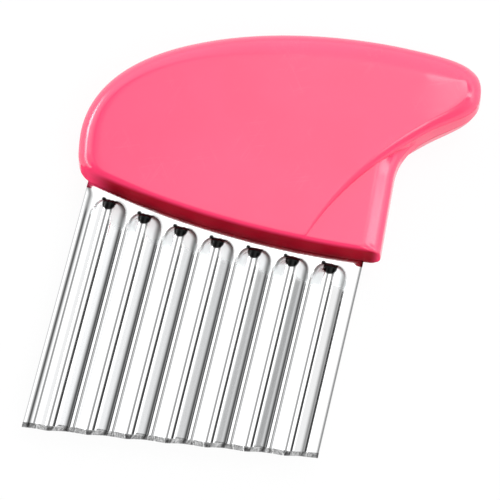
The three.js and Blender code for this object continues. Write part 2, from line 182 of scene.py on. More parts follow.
def shader_group(name, inputs, outputs):
    tree = bpy.data.node_groups.new(name, "ShaderNodeTree")
    tree.interface.new_socket("Vector", in_out="INPUT", socket_type="NodeSocketVector")
    for label in inputs:
        tree.interface.new_socket(label, in_out="INPUT", socket_type="NodeSocketFloat")
    for label in outputs:
        tree.interface.new_socket(label, in_out="OUTPUT", socket_type="NodeSocketFloat")
    wiring = Wiring(tree)
    return tree, wiring, wiring.add("NodeGroupInput").outputs, wiring.add("NodeGroupOutput").inputs


def make_grain():
    tree, w, given, out = shader_group("surface_grain", ["Fine", "Broad"], ["Fine", "Broad"])
    for label, detail in GRAIN_DETAIL.items():
        noise = {"Vector": given["Vector"], "Scale": given[label], "Detail": detail}
        w.put(out[label], w.add("ShaderNodeTexNoise", noise).outputs[0])
    return tree


def make_hairlines():
    tree, w, given, out = shader_group("hairline_scratches", ["Density", "Length"], ["Scratch"])
    place = given["Vector"]
    squeeze = w.add("ShaderNodeCombineXYZ", {0: 1.0, 1: w.math("DIVIDE", 1.0, given["Length"]), 2: 1.0})
    total = 0.0
    for way in SCRATCH_WAYS:
        turned = w.add("ShaderNodeMapping", {"Vector": place, "Rotation": (0, 0, way)})
        pair = {0: turned.outputs[0], 1: squeeze.outputs[0]}
        drawn = w.add("ShaderNodeVectorMath", pair, operation="MULTIPLY")
        noise = w.add("ShaderNodeTexNoise", {"Vector": drawn.outputs[0], "Scale": given["Density"]})
        crossed = w.math("ABSOLUTE", w.math("SUBTRACT", noise.outputs[0], 0.5))
        total = w.math("ADD", total, w.span(crossed, 0.0, SCRATCH_WIDTH, 1.0, 0.0))
    patch_scale = w.math("MULTIPLY", given["Density"], PATCH_SCALE)
    patchy = w.add("ShaderNodeTexNoise", {"Vector": place, "Scale": patch_scale})
    worn = w.span(patchy.outputs[0], *PATCH_EDGE, 0.0, 1.0, smooth=True)
    w.put(out["Scratch"], w.math("MULTIPLY", w.math("MINIMUM", total, 1.0), worn))
    return tree


grain_group = make_grain()
hairline_group = make_hairlines()
print("shader groups:", grain_group.name, hairline_group.name)


# %% Effects and attributes in a material
def effect(w, group, place, sizes):
    node = w.add("ShaderNodeGroup", node_tree=group)
    w.put(node.inputs["Vector"], place)
    for label, value in sizes.items():
        w.put(node.inputs[label], value)
    return node.outputs


def mark(w, label):
    return w.add("ShaderNodeAttribute", attribute_name=label).outputs["Fac"]


print("effects ready")

# %% [markdown]
# ## Blade steel
# The blade is cold-rolled stainless sheet, bright but drawn: fine streaks run along the ribs, where it
# slid through the press. It is a mirror that is slightly blurred across the streaks, so the streaks are a
# noise that is stretched along the ribs. Four attributes of the blade's mesh say where the finish
# changes and where shade is painted on. "ground" is the band at the cutting edge with its cross grinding
# marks, "end" is the matt skin where a rib closes, the third is a painted black spot below it, the dark
# reflection of the gap under the handle, and "root" holds painted dark lines along the ribs: painted shade
# at their feet, sides and ends, and a painted reflection along each crest. The painted lines are seen by
# the camera only, because the ribs mirror each other and each line would show up twice.

# %% Steel values
STEEL_STREAKS = {"Fine": 6000.0, "Broad": 300.0}
STEEL_HAIRLINES = {"Density": 900.0, "Length": 30.0}
STREAK_STRETCH = (1.0, 0.02, 1.0)
STEEL_TONE = 0.845
STEEL_TINT = (0.995, 1.0, 1.005)
STEEL_BUMP = {"Strength": 0.05, "Distance": 0.00001}
STREAK_TONE = 0.05
STEEL_ROUGHNESS = 0.06
STREAK_ROUGHNESS = 0.05
SCRATCH_ROUGHNESS = 0.05
GRINDING = {"Rotation": (0, 0, 0.9), "Scale": (1.0, 0.03, 1.0)}
GRINDING_SCALE = 3200.0
GRINDING_EDGE = (0.35, 0.65)
GRINDING_TONES = (0.62, 0.16)
GRINDING_ROUGHNESS = (0.2, 0.05)
GRINDING_HEIGHT = 3.0
BAND_EDGE = 0.12
BAND_MATT = 0.75
END_TONE = 0.08
END_WARMTH = -0.05
END_ROUGHNESS = 0.35
MATT_SHARE = 0.92
LINE_SHADE = 0.95
DARK_SPOT_SHADE = 0.985
print("steel tone", STEEL_TONE, "and roughness", STEEL_ROUGHNESS)


# %% Steel material
def make_steel():
    material, w, bsdf = new_material("blade_steel")
    m = w.math
    place = w.add("ShaderNodeTexCoord").outputs["Object"]
    drawn = w.add("ShaderNodeMapping", {"Vector": place, "Scale": STREAK_STRETCH}).outputs[0]
    streak = effect(w, grain_group, drawn, STEEL_STREAKS)
    hair = effect(w, hairline_group, place, STEEL_HAIRLINES)["Scratch"]
    crossing = w.add("ShaderNodeMapping", {"Vector": place, **GRINDING}).outputs[0]
    noise = {"Vector": crossing, "Scale": GRINDING_SCALE, "Detail": 2.0}
    grinding = w.add("ShaderNodeTexNoise", noise).outputs[0]
    band = w.span(mark(w, "ground"), 0.0, BAND_EDGE, 0.0, 1.0)
    end = mark(w, "end")
    painted_dark_spot = mark(w, "painted_dark_spot")
    # Painted shade lines, seen by the camera only.
    line = m("MULTIPLY", mark(w, "root"), w.add("ShaderNodeLightPath").outputs["Is Camera Ray"])

    tone = m("MULTIPLY_ADD", streak["Broad"], STREAK_TONE, STEEL_TONE)
    scored = w.span(grinding, *GRINDING_EDGE, *GRINDING_TONES)
    tone = m("MULTIPLY_ADD", band, m("SUBTRACT", scored, tone), tone)
    tone = m("MULTIPLY_ADD", end, END_TONE, tone)
    # The painted shade lines and the painted black spots darken the tone.
    tone = m("MULTIPLY", tone, m("MULTIPLY_ADD", line, -LINE_SHADE, 1.0))
    tone = m("MULTIPLY", tone, m("MULTIPLY_ADD", painted_dark_spot, -DARK_SPOT_SHADE, 1.0))
    tint = w.add("ShaderNodeCombineColor")
    warm = m("MULTIPLY_ADD", end, END_WARMTH, STEEL_TINT[0])
    for channel, share in zip(tint.inputs, (warm, *STEEL_TINT[1:])):
        w.put(channel, m("MULTIPLY", tone, share))
    w.put(bsdf.inputs["Base Color"], tint.outputs[0])

    rough = m("MULTIPLY_ADD", streak["Fine"], STREAK_ROUGHNESS, STEEL_ROUGHNESS)
    rough = m("MULTIPLY_ADD", hair, SCRATCH_ROUGHNESS, rough)
    rough = m("MULTIPLY_ADD", end, END_ROUGHNESS, rough)
    rough = m("MULTIPLY_ADD", band, m("MULTIPLY_ADD", grinding, *GRINDING_ROUGHNESS), rough)
    w.put(bsdf.inputs["Roughness"], rough)
    matt = m("MULTIPLY", end, m("SUBTRACT", 1.0, painted_dark_spot))
    matt = m("MAXIMUM", matt, m("MULTIPLY", band, BAND_MATT))
    w.put(bsdf.inputs["Metallic"], m("MULTIPLY_ADD", matt, -MATT_SHARE, 1.0))
    height = m("MULTIPLY_ADD", band, m("MULTIPLY", grinding, GRINDING_HEIGHT), streak["Fine"])
    bump = w.add("ShaderNodeBump", {**STEEL_BUMP, "Height": height})
    w.put(bsdf.inputs["Normal"], bump.outputs[0])
    return material


steel = make_steel()
print("steel:", len(steel.node_tree.nodes), "nodes")

# %% [markdown]
# ## Handle plastic
# The handle is injection-moulded in a saturated pink. The mould leaves a fine grain that breaks up the
# reflections, the colour drifts a little where the melt flowed, and use has left a few pale hairlines.
# One function makes three finishes of it: glossy for the faces, satin for the wall under the nose and
# matt for the wall over the blade, which hands never polish. An attribute on the points mixes in painted
# shade, a much darker pink, along that lower wall, where it turns away from the light.

# %% Plastic material
PINK = (0.95, 0.052, 0.158)
PINK_DRIFT = (0.93, 0.048, 0.149)
PINK_SCRATCH = (0.95, 0.16, 0.28)
# Painted shade for the lower wall over the blade: a much darker pink and its drift.
SHADED_PINK = (0.38, 0.004, 0.018)
SHADED_DRIFT = (0.26, 0.003, 0.012)
PLASTIC_GRAIN = {"Fine": 2600.0, "Broad": 60.0}
PLASTIC_HAIRLINES = {"Density": 700.0, "Length": 26.0}
DRIFT_EDGE = (0.35, 0.7)
SCRATCH_PALENESS = 0.12
PATCH_ROUGHNESS = 0.08
SCRATCH_DEPTH = 0.2
PLASTIC_BUMP = {"Strength": 0.2, "Distance": 0.00001}


def colour_mix(w, share, first, second):
    mix = w.add("ShaderNodeMix", data_type="RGBA")
    w.put(mix.inputs["Factor"], share)
    for label, colour in (("A", first), ("B", second)):
        socket = [s for s in mix.inputs if s.name == label and s.type == "RGBA"][0]
        w.put(socket, colour if isinstance(colour, bpy.types.NodeSocket) else (*colour, 1.0))
    return [s for s in mix.outputs if s.type == "RGBA"][0]


def make_plastic(name, roughness, specular):
    material, w, bsdf = new_material(name)
    m = w.math
    place = w.add("ShaderNodeTexCoord").outputs["Object"]
    grain = effect(w, grain_group, place, PLASTIC_GRAIN)
    hair = effect(w, hairline_group, place, PLASTIC_HAIRLINES)["Scratch"]
    drift = w.span(grain["Broad"], *DRIFT_EDGE, 0.0, 1.0, smooth=True)
    colour = colour_mix(w, drift, PINK, PINK_DRIFT)
    colour = colour_mix(w, m("MULTIPLY", hair, SCRATCH_PALENESS), colour, PINK_SCRATCH)
    # Painted shade: the darker pink is mixed in along the lower wall.
    colour = colour_mix(w, mark(w, "wall_shade"), colour, colour_mix(w, drift, SHADED_PINK, SHADED_DRIFT))
    w.put(bsdf.inputs["Base Color"], colour)
    rough = m("MULTIPLY_ADD", grain["Broad"], PATCH_ROUGHNESS, roughness)
    w.put(bsdf.inputs["Roughness"], m("MULTIPLY_ADD", hair, SCRATCH_ROUGHNESS, rough))
    height = m("SUBTRACT", grain["Fine"], m("MULTIPLY", hair, SCRATCH_DEPTH))
    bump = w.add("ShaderNodeBump", {**PLASTIC_BUMP, "Height": height})
    w.put(bsdf.inputs["Normal"], bump.outputs[0])
    bsdf.inputs["Specular IOR Level"].default_value = specular
    return material


plastic = make_plastic("handle_plastic", roughness=0.13, specular=0.8)
satin_plastic = make_plastic("handle_plastic_satin", roughness=0.25, specular=0.3)
matt_plastic = make_plastic("handle_plastic_matt", roughness=0.5, specular=0.01)
print("plastic:", len(plastic.node_tree.nodes), "nodes in each of three finishes")

# %% [markdown]
# ## Screw zinc
# The three screws are zinc plated: a greyish metal, duller than the blade, mottled by the plating bath
# and scratched by the driver. The broad grain gives the mottling and the hairlines give the scratches, so
# nothing new has to be made for it.

# %% Zinc material
ZINC = (0.52, 0.53, 0.54)
ZINC_BLOOM = (0.70, 0.71, 0.70)
ZINC_GRAIN = {"Fine": 5000.0, "Broad": 900.0}
ZINC_HAIRLINES = {"Density": 2000.0, "Length": 12.0}
ZINC_ROUGHNESS = 0.25
ZINC_BLOOM_ROUGHNESS = 0.2
ZINC_SCRATCH_ROUGHNESS = 0.1
ZINC_BUMP = {"Strength": 0.2, "Distance": 0.00002}


def make_zinc():
    material, w, bsdf = new_material("screw_zinc")
    place = w.add("ShaderNodeTexCoord").outputs["Object"]
    grain = effect(w, grain_group, place, ZINC_GRAIN)
    hair = effect(w, hairline_group, place, ZINC_HAIRLINES)["Scratch"]
    w.put(bsdf.inputs["Base Color"], colour_mix(w, grain["Broad"], ZINC, ZINC_BLOOM))
    rough = w.math("MULTIPLY_ADD", grain["Broad"], ZINC_BLOOM_ROUGHNESS, ZINC_ROUGHNESS)
    w.put(bsdf.inputs["Roughness"], w.math("MULTIPLY_ADD", hair, ZINC_SCRATCH_ROUGHNESS, rough))
    bsdf.inputs["Metallic"].default_value = 1.0
    bump = w.add("ShaderNodeBump", {**ZINC_BUMP, "Height": grain["Fine"]})
    w.put(bsdf.inputs["Normal"], bump.outputs[0])
    return material


zinc = make_zinc()
print("zinc:", len(zinc.node_tree.nodes), "nodes")

# %% [markdown]
# ## Tools for Geometry Nodes
# A Geometry Nodes tree is a recipe: it starts from a plain grid or a few points and works out the piece
# from named sizes. These helpers make such a tree, give it its sizes by each socket's identifier and turn
# the result into a plain mesh. Every tree ends by making its copies real, because an export drops them
# otherwise, and by setting the material.


# %% Tree helpers
def geometry_tree(name, sizes):
    tree = bpy.data.node_groups.new(name, "GeometryNodeTree")
    tree.interface.new_socket("Geometry", in_out="INPUT", socket_type="NodeSocketGeometry")
    tree.interface.new_socket("Geometry", in_out="OUTPUT", socket_type="NodeSocketGeometry")
    for label in sizes:
        tree.interface.new_socket(label, in_out="INPUT", socket_type="NodeSocketFloat")
    wiring = Wiring(tree)
    return tree, wiring, wiring.add("NodeGroupInput").outputs


def along(w, value, stations):
    total = stations[0][1]
    for (from_low, first), (from_high, second) in zip(stations, stations[1:]):
        step = w.math("SUBTRACT", second, first)
        total = w.math("ADD", total, w.span(value, from_low, from_high, 0.0, step))
    return total


def finish_tree(w, geometry, material):
    spot = {"Geometry": geometry, "Scale": (MM, MM, MM), "Translation": tuple(datum)}
    placed = w.add("GeometryNodeTransform", spot)
    real = w.add("GeometryNodeRealizeInstances", {"Geometry": placed.outputs[0]})
    painted = w.add("GeometryNodeSetMaterial", {"Geometry": real.outputs[0], "Material": material})
    w.put(w.add("NodeGroupOutput").inputs[0], painted.outputs[0])


def grow(name, tree, sizes, start_mesh):
    piece = bpy.data.objects.new(name, start_mesh)
    bpy.context.scene.collection.objects.link(piece)
    growth = piece.modifiers.new("growth", "NODES")
    growth.node_group = tree
    for item in tree.interface.items_tree:
        if item.in_out == "INPUT" and item.name in sizes:
            growth[item.identifier] = float(sizes[item.name])
    grown = piece.evaluated_get(bpy.context.evaluated_depsgraph_get())
    mesh = bpy.data.meshes.new_from_object(grown)
    piece.modifiers.clear()
    piece.data = mesh
    mesh.name = name
    return piece


def smooth_shading(piece, angle):
    for face in piece.data.polygons:
        face.use_smooth = True
    piece.data.set_sharp_from_angle(angle=math.radians(angle))


print("tree helpers ready")

# %% [markdown]
# ## Blade
# The real blade is one flat sheet with seven ribs pressed up in it. The ribs close in rounded ends below
# the handle, the two sides stay nearly flat as flanges, and the lower edge is cut on a slant and ground
# thin. It could be drawn as a profile and extruded, but the closed ends would then need sculpting. Each of
# its features follows a rule in X and Y, so a Geometry Nodes tree lifts a flat grid into shape and gives
# it its thickness. The rows of the grid are packed where the rib ends need them.

# %% Blade sizes
BLADE_SIZES = {
    "Left": -31.705,
    "Right": 31.805,
    "Ribs": 7.0,
    "Pitch": 8.43,
    "Height": 3.28,
    "Crest": 1.6,
    "Valley": 1.3,
    "Crest bend": 0.95,
    "Valley bend": 0.9,
    "Reach": 47.45,
    "Slant": math.tan(math.radians(7.6)),
    "Lean": math.tan(math.radians(8.0)),
    "Ground": 1.1,
    "Thickness": 0.7,
    "Edge thickness": 0.2,
    "Top gap": 1.6,
    "Top run": 1.1,
    "Top corner": 2.5,
    "Root line": 0.3,
    "Root width": 0.88,
    "Dark spot width": 1.55,
    "Dark spot depth": 1.9,
    "Flange rise": 0.08,
    "Flange gap": 0.2,
    "Seat": 3.5,
    "Arc radius": 213.0,
    "Arc x": 11.355,
}
BLADE_COLUMNS = 461
BLADE_ROWS = 71
GROUND_ROWS = 4 / (BLADE_ROWS - 1)
PLAIN_ROWS = 16 / (BLADE_ROWS - 1)
END_ROWS = 64 / (BLADE_ROWS - 1)
END_REACH = 1.9
MERGE_DISTANCE = 0.001
print("blade sheet of", BLADE_COLUMNS, "by", BLADE_ROWS, "points")


# %% Place on the sheet
def sheet_places(w, size):
    m = w.math
    place = w.add("ShaderNodeSeparateXYZ", {0: w.add("GeometryNodeInputPosition").outputs[0]}).outputs
    sheet = SimpleNamespace(row=m("ADD", place["Y"], 0.5))
    width = m("SUBTRACT", size["Right"], size["Left"])
    sheet.x = m("MULTIPLY_ADD", m("ADD", place["X"], 0.5), width, size["Left"])
    middle = m("MULTIPLY_ADD", size["Ribs"], 0.5, -0.5)
    sheet.rib = m("ROUND", m("ADD", m("DIVIDE", sheet.x, size["Pitch"]), middle))
    sheet.crest = m("MULTIPLY", m("SUBTRACT", sheet.rib, middle), size["Pitch"])
    inner = m("LESS_THAN", sheet.rib, m("SUBTRACT", size["Ribs"], 0.5))
    sheet.closed = m("MULTIPLY", m("GREATER_THAN", sheet.rib, -0.5), inner)
    sheet.off = m("SUBTRACT", sheet.x, sheet.crest)
    sheet.across = m("ABSOLUTE", sheet.off)
    flats = m("ADD", size["Crest"], size["Valley"])
    sheet.slope_run = m("MULTIPLY", m("SUBTRACT", size["Pitch"], flats), 0.5)
    sheet.rib_half = m("MULTIPLY_ADD", size["Crest"], 0.5, sheet.slope_run)
    sheet.side = m("SUBTRACT", sheet.rib_half, size["Top corner"])
    return sheet


def sheet_arc(w, size, at):
    off = w.math("SUBTRACT", at, size["Arc x"])
    under = w.math("SUBTRACT", w.math("POWER", size["Arc radius"], 2.0), w.math("MULTIPLY", off, off))
    return w.math("SUBTRACT", size["Arc radius"], w.math("SQRT", under))


# %% Shape of the sheet
def rib_level(w, size, sheet):
    m = w.math
    share = m("DIVIDE", m("MULTIPLY_ADD", size["Crest"], -0.5, sheet.across), sheet.slope_run)
    low = m("SMOOTH_MIN", share, 1.0, m("DIVIDE", size["Valley bend"], sheet.slope_run))
    both = m("SMOOTH_MAX", low, 0.0, m("DIVIDE", size["Crest bend"], sheet.slope_run))
    rise = m("MULTIPLY_ADD", sheet.closed, m("SUBTRACT", 1.0, size["Flange rise"]), size["Flange rise"])
    return m("MULTIPLY", m("MULTIPLY", size["Height"], rise), m("SUBTRACT", 1.0, both))


def sheet_rows(w, size, sheet, level):
    m = w.math
    slanted = m("SUBTRACT", m("MULTIPLY", sheet.x, size["Slant"]), size["Reach"])
    middle_z = m("MULTIPLY_ADD", size["Height"], -0.5, level)
    edge = m("SUBTRACT", slanted, m("MULTIPLY", middle_z, size["Lean"]))
    arc = sheet_arc(w, size, sheet.x)
    rib_top = m("SUBTRACT", arc, size["Top gap"])
    return along(w, sheet.row, [
        (0.0, edge),
        (GROUND_ROWS, m("ADD", edge, size["Ground"])),
        (PLAIN_ROWS, m("SUBTRACT", rib_top, m("MULTIPLY", sheet.rib_half, END_REACH))),
        (END_ROWS, m("ADD", rib_top, size["Valley bend"])),
        (1.0, m("ADD", arc, size["Seat"])),
    ])


def shape_sheet(w, size, sheet):
    m = w.math
    level = rib_level(w, size, sheet)
    sheet.y = sheet_rows(w, size, sheet, level)
    rib_end = m("SUBTRACT", sheet_arc(w, size, sheet.crest), size["Top gap"])
    flange_end = m("SUBTRACT", sheet_arc(w, size, sheet.x), size["Flange gap"])
    flange = m("MULTIPLY", m("SUBTRACT", 1.0, sheet.closed), flange_end)
    sheet.top = m("MULTIPLY_ADD", sheet.closed, rib_end, flange)
    turn = w.span(sheet.across, sheet.side, sheet.rib_half, 0.0, 1.0)
    round_off = m("SUBTRACT", 1.0, m("SQRT", m("SUBTRACT", 1.0, m("MULTIPLY", turn, turn))))
    drop = m("MULTIPLY", sheet.closed, m("MULTIPLY", size["Top corner"], round_off))
    sheet.below = m("SUBTRACT", m("SUBTRACT", sheet.top, drop), sheet.y)
    sheet.lift = m("MULTIPLY", level, w.span(sheet.below, 0.0, size["Top run"], 0.0, 1.0, smooth=True))
    flat_z = m("MULTIPLY", m("SUBTRACT", size["Thickness"], size["Height"]), 0.5)
    sheet.z = m("ADD", sheet.lift, flat_z)


print("sheet shape ready")

# %% [markdown]
# ## Marks on the blade
# Most marks on the blade are painted light and shade, which the smooth shape does not give here: a painted
# shade line at the right foot of each rib, a finer painted dark reflection along its crest, a painted dark
# outline round its end, painted shadow at the two cut sides, and a painted black spot below each matt end,
# the dark reflection of the gap under the handle. The matt end is a real change of finish, and the ground
# band gets a dark spot under each crest. They could be painted on a picture, but the tree already knows
# every distance on the sheet. So each mark is a share from 0 to 1 that is worked out there and stored with
# the mesh, where the steel reads it.

# %% Sizes of the marks
RIGHT_SIDE = (0.2, 1.6)
SLACK_AT = (-14.0, -10.0)
SLACK = (2.6, 1.6)
NEAR_TOP = (1.9, 4.2)
END_WIDENING = 0.25
END_FADING = 0.15
LAST_RIB_FADING = 0.18
# Painted shadow at the cut sides, a painted dark reflection along the crests and a painted dark outline round
# the rib ends.
LEFT_LINE = (0.05, 0.45, 0.75)
RIGHT_LINE = (0.15, 0.75, 0.85)
CREST_LINE_AT = 0.64
CREST_LINE = (0.12, 0.46)
CREST_SHARE = 0.45
CREST_START = (1.0, 1.6)
RIM_LINE = (0.0, 0.6, 0.65)
# A painted black spot below each rib end, the dark reflection of the gap under the handle, with a small tail.
DARK_SPOT_LEFT = 0.2
DARK_SPOT_UP = 0.1
DARK_SPOT_POWERS = (2.2, 2.0)
DARK_SPOT_EDGE = (0.85, 1.1)
DARK_SPOT_TOP = (-0.1, 0.15)
TAIL_LEFT = 1.95
TAIL_DOWN = 0.1
TAIL_SIZES = (0.5, 0.42)
TAIL_EDGE = (0.7, 1.2)
# A dark spot on the ground band under each crest.
EDGE_SPOT = (0.45, 0.95, 0.8)
EDGE_SPOT_ROWS = 0.6
MATT_RIM = (1.0, 2.0)
MATT_FOOT = 0.04
print("painted_dark_spots", BLADE_SIZES["Dark spot width"] * 2, "mm wide, lines", BLADE_SIZES["Root width"] * 2, "mm wide")


# %% Painted lines on the blade
def line_at(w, distance, sizes):
    return w.span(distance, sizes[0], sizes[1], sizes[2], 0.0, smooth=True)


def inside_outline(w, size, sheet):
    m = w.math
    corner = size["Top corner"]
    past_side = m("SUBTRACT", sheet.across, sheet.side)
    past_top = m("SUBTRACT", sheet.y, m("SUBTRACT", sheet.top, corner))
    out_x = m("MAXIMUM", past_side, 0.0)
    out_y = m("MAXIMUM", past_top, 0.0)
    outer = m("SQRT", m("ADD", m("MULTIPLY", out_x, out_x), m("MULTIPLY", out_y, out_y)))
    deep = m("MINIMUM", m("MAXIMUM", past_side, past_top), 0.0)
    return m("SUBTRACT", corner, m("ADD", outer, deep))


# Painted dark lines: shade at the right foot of each rib, at the cut sides and round the rib ends, and a
# reflection along each crest.
def painted_blade_lines(w, size, sheet):
    m = w.math
    off_root = m("ABSOLUTE", m("SUBTRACT", inside_outline(w, size, sheet), size["Root line"]))
    spread = m("MULTIPLY_ADD", sheet.near_top, END_WIDENING, size["Root width"])
    root = m("MULTIPLY", w.span(off_root, 0.0, spread, 1.0, 0.0, smooth=True), sheet.on_right)
    last_rib = m("GREATER_THAN", sheet.rib, m("SUBTRACT", size["Ribs"], 1.5))
    fading = m("MULTIPLY_ADD", sheet.near_top, -END_FADING, 1.0)
    fading = m("MULTIPLY", fading, m("MULTIPLY_ADD", last_rib, -LAST_RIB_FADING, 1.0))
    root = m("MULTIPLY", root, fading)
    left = line_at(w, m("SUBTRACT", sheet.x, size["Left"]), LEFT_LINE)
    right = line_at(w, m("SUBTRACT", size["Right"], sheet.x), RIGHT_LINE)
    off_crest = m("ABSOLUTE", m("SUBTRACT", sheet.off, CREST_LINE_AT))
    crest = line_at(w, off_crest, (*CREST_LINE, 1.0))
    crest = m("MULTIPLY", crest, m("MULTIPLY_ADD", sheet.near_top, CREST_SHARE, CREST_SHARE))
    started = w.span(sheet.below, *CREST_START, 0.0, 1.0)
    crest = m("MULTIPLY", crest, m("MULTIPLY", sheet.closed, started))
    rim = m("MULTIPLY", line_at(w, off_root, RIM_LINE), sheet.near_top)
    rim = m("MULTIPLY", rim, m("MULTIPLY", sheet.closed, m("SUBTRACT", 1.0, sheet.on_right)))
    for drawn in (left, right, crest, rim):
        root = m("MAXIMUM", root, drawn)
    return root


# %% Painted dark spots and matt ends
# A painted black spot below each rib end, the dark reflection of the gap under the handle, with a small tail,
# and a dark spot on the ground band under each crest.
def painted_spot_marks(w, size, sheet):
    m = w.math
    down = m("SUBTRACT", m("ADD", sheet.top, DARK_SPOT_UP), sheet.y)
    dark_spot_x = m("DIVIDE", m("ABSOLUTE", m("ADD", sheet.off, DARK_SPOT_LEFT)), size["Dark spot width"])
    dark_spot_y = m("DIVIDE", m("MAXIMUM", m("SUBTRACT", down, size["Top run"]), 0.0), size["Dark spot depth"])
    lobe = m("ADD", m("POWER", dark_spot_x, DARK_SPOT_POWERS[0]), m("POWER", dark_spot_y, DARK_SPOT_POWERS[1]))
    under_top = w.span(down, *DARK_SPOT_TOP, 0.0, 1.0)
    blob = m("MULTIPLY", line_at(w, lobe, (*DARK_SPOT_EDGE, 1.0)), under_top)
    tail_x = m("DIVIDE", m("ADD", sheet.off, TAIL_LEFT), TAIL_SIZES[0])
    tail_y = m("DIVIDE", m("SUBTRACT", down, TAIL_DOWN), TAIL_SIZES[1])
    tail_off = m("ADD", m("MULTIPLY", tail_x, tail_x), m("MULTIPLY", tail_y, tail_y))
    tail = line_at(w, tail_off, (*TAIL_EDGE, 1.0))
    edge_spot_y = w.span(sheet.row, EDGE_SPOT_ROWS * GROUND_ROWS, GROUND_ROWS, 1.0, 0.0)
    edge_spot = m("MULTIPLY", line_at(w, sheet.across, EDGE_SPOT), edge_spot_y)
    return m("MULTIPLY", sheet.closed, m("MAXIMUM", m("MAXIMUM", blob, tail), edge_spot))


def matt_ends(w, sheet):
    m = w.math
    raised = w.span(sheet.lift, 0.0, MATT_FOOT, 0.0, 1.0, smooth=True)
    near_rim = line_at(w, sheet.below, (*MATT_RIM, 1.0))
    matt = m("MULTIPLY_ADD", sheet.on_right, m("SUBTRACT", sheet.near_top, near_rim), near_rim)
    return m("MULTIPLY", m("MULTIPLY", raised, sheet.closed), matt)


def blade_marks(w, size, sheet):
    m = w.math
    sheet.on_right = w.span(sheet.off, *RIGHT_SIDE, 0.0, 1.0, smooth=True)
    slack = w.span(sheet.x, *SLACK_AT, *SLACK)
    beneath = m("SUBTRACT", m("SUBTRACT", sheet.top, sheet.y), m("MULTIPLY", sheet.on_right, slack))
    sheet.near_top = line_at(w, beneath, (*NEAR_TOP, 1.0))
    return {
        "ground": w.span(sheet.row, 0.0, GROUND_ROWS, 1.0, 0.0),
        "root": painted_blade_lines(w, size, sheet),
        "end": matt_ends(w, sheet),
        "painted_dark_spot": painted_spot_marks(w, size, sheet),
    }


print("blade marks ready")


# %% Blade tree
def store(w, geometry, label, value):
    note = {"Geometry": geometry, "Name": label, "Value": value}
    return w.add("GeometryNodeStoreNamedAttribute", note, data_type="FLOAT", domain="POINT").outputs[0]


def thicken(w, size, skin):
    m = w.math
    share = w.add("GeometryNodeInputNamedAttribute", {"Name": "ground"}, data_type="FLOAT").outputs[0]
    cut = m("MULTIPLY", share, m("SUBTRACT", size["Thickness"], size["Edge thickness"]))
    inward = w.add("ShaderNodeVectorMath", operation="SCALE")
    w.put(inward.inputs[0], w.add("GeometryNodeInputNormal").outputs[0])
    w.put(inward.inputs["Scale"], m("MULTIPLY", cut, -1.0))
    bevelled = {"Geometry": skin, "Offset": inward.outputs[0]}
    front_skin = w.add("GeometryNodeSetPosition", bevelled).outputs[0]
    sink = {"Mesh": front_skin, "Offset Scale": m("SUBTRACT", cut, size["Thickness"]), "Individual": False}
    sunk = w.add("GeometryNodeExtrudeMesh", sink, mode="FACES")
    back_skin = w.add("GeometryNodeFlipFaces", {"Mesh": sunk.outputs["Mesh"]}).outputs[0]
    # The back skin gets no painted lines, no painted spots and no matt end.
    for label in ("root", "end", "painted_dark_spot"):
        back_skin = store(w, back_skin, label, 0.0)
    joined = w.add("GeometryNodeJoinGeometry")
    w.put(joined.inputs[0], front_skin)
    w.put(joined.inputs[0], back_skin)
    weld = {"Geometry": joined.outputs[0], "Distance": MERGE_DISTANCE}
    return w.add("GeometryNodeMergeByDistance", weld).outputs[0]


def blade_tree():
    tree, w, size = geometry_tree("corrugated_blade", BLADE_SIZES)
    flat = {"Size X": 1.0, "Size Y": 1.0, "Vertices X": BLADE_COLUMNS, "Vertices Y": BLADE_ROWS}
    skin = w.add("GeometryNodeMeshGrid", flat).outputs["Mesh"]
    sheet = sheet_places(w, size)
    shape_sheet(w, size, sheet)
    for label, share in blade_marks(w, size, sheet).items():
        skin = store(w, skin, label, share)
    spot = w.add("ShaderNodeCombineXYZ", {0: sheet.x, 1: sheet.y, 2: sheet.z})
    lifted = w.add("GeometryNodeSetPosition", {"Geometry": skin, "Position": spot.outputs[0]})
    finish_tree(w, thicken(w, size, lifted.outputs[0]), steel)
    return tree


# %% Grow the blade
BLADE_SHARP = 15
blade = grow("blade_sheet", blade_tree(), BLADE_SIZES, bpy.data.meshes.new("blade_start"))
smooth_shading(blade, BLADE_SHARP)
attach(blade, "root")
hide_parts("blade")
print("blade:", len(blade.data.vertices), "points")

# %% [markdown]
# ## Handle outline
# The handle is two moulded bodies grown together: a raised palm body with a hooked nose, and a neck that
# lies a little lower and runs into it along a crease. Sculpting would give soft forms too, but a mould is
# cut from drawn curves. So both bodies are chains of Bezier curves on the parting plane, each with the
# width of its edge rounding. The lower edge is one shallow arc, the same one that the blade follows.

# %% Outline curves
NECK = np.array((34.455, 19.3))
NECK_FOOT = np.array((35.655, -4.0))
NOSE = np.array((NOSE_X, 41.1))
CROWN = np.array((30.955, CROWN_Y))
BACK = np.array((-35.655, 15.3))
BACK_FOOT = np.array((-30.955, -4.0))
CREASE_FOOT = np.array((17.655, -4.0))
NECK_PULL = 12.9
NOSE_PULL_DOWN = 7.2
NOSE_PULL_UP = 9.0
CROWN_PULL_RIGHT = 11.5
CROWN_PULL_LEFT = 29.0
BACK_PULL_UP = 23.4
BACK_PULL_DOWN = 5.7
CREASE_PULL = (3.3, 16.0)
JOIN = 0.4
JOIN_PULL = 10.5
SMALL_STEP = 0.001
ARC_RADIUS = BLADE_SIZES["Arc radius"]
ARC_X = BLADE_SIZES["Arc x"]


def lower_arc(x):
    return ARC_RADIUS - np.sqrt(ARC_RADIUS**2 - (x - ARC_X) ** 2)


def bezier(points, start=0.0, end=1.0, steps=60):
    t = np.linspace(start, end, steps + 1)[:, None]
    layer = [np.repeat([np.asarray(p, float)], steps + 1, axis=0) for p in points]
    while len(layer) > 1:
        layer = [(1 - t) * a + t * b for a, b in zip(layer, layer[1:])]
    return layer[0]


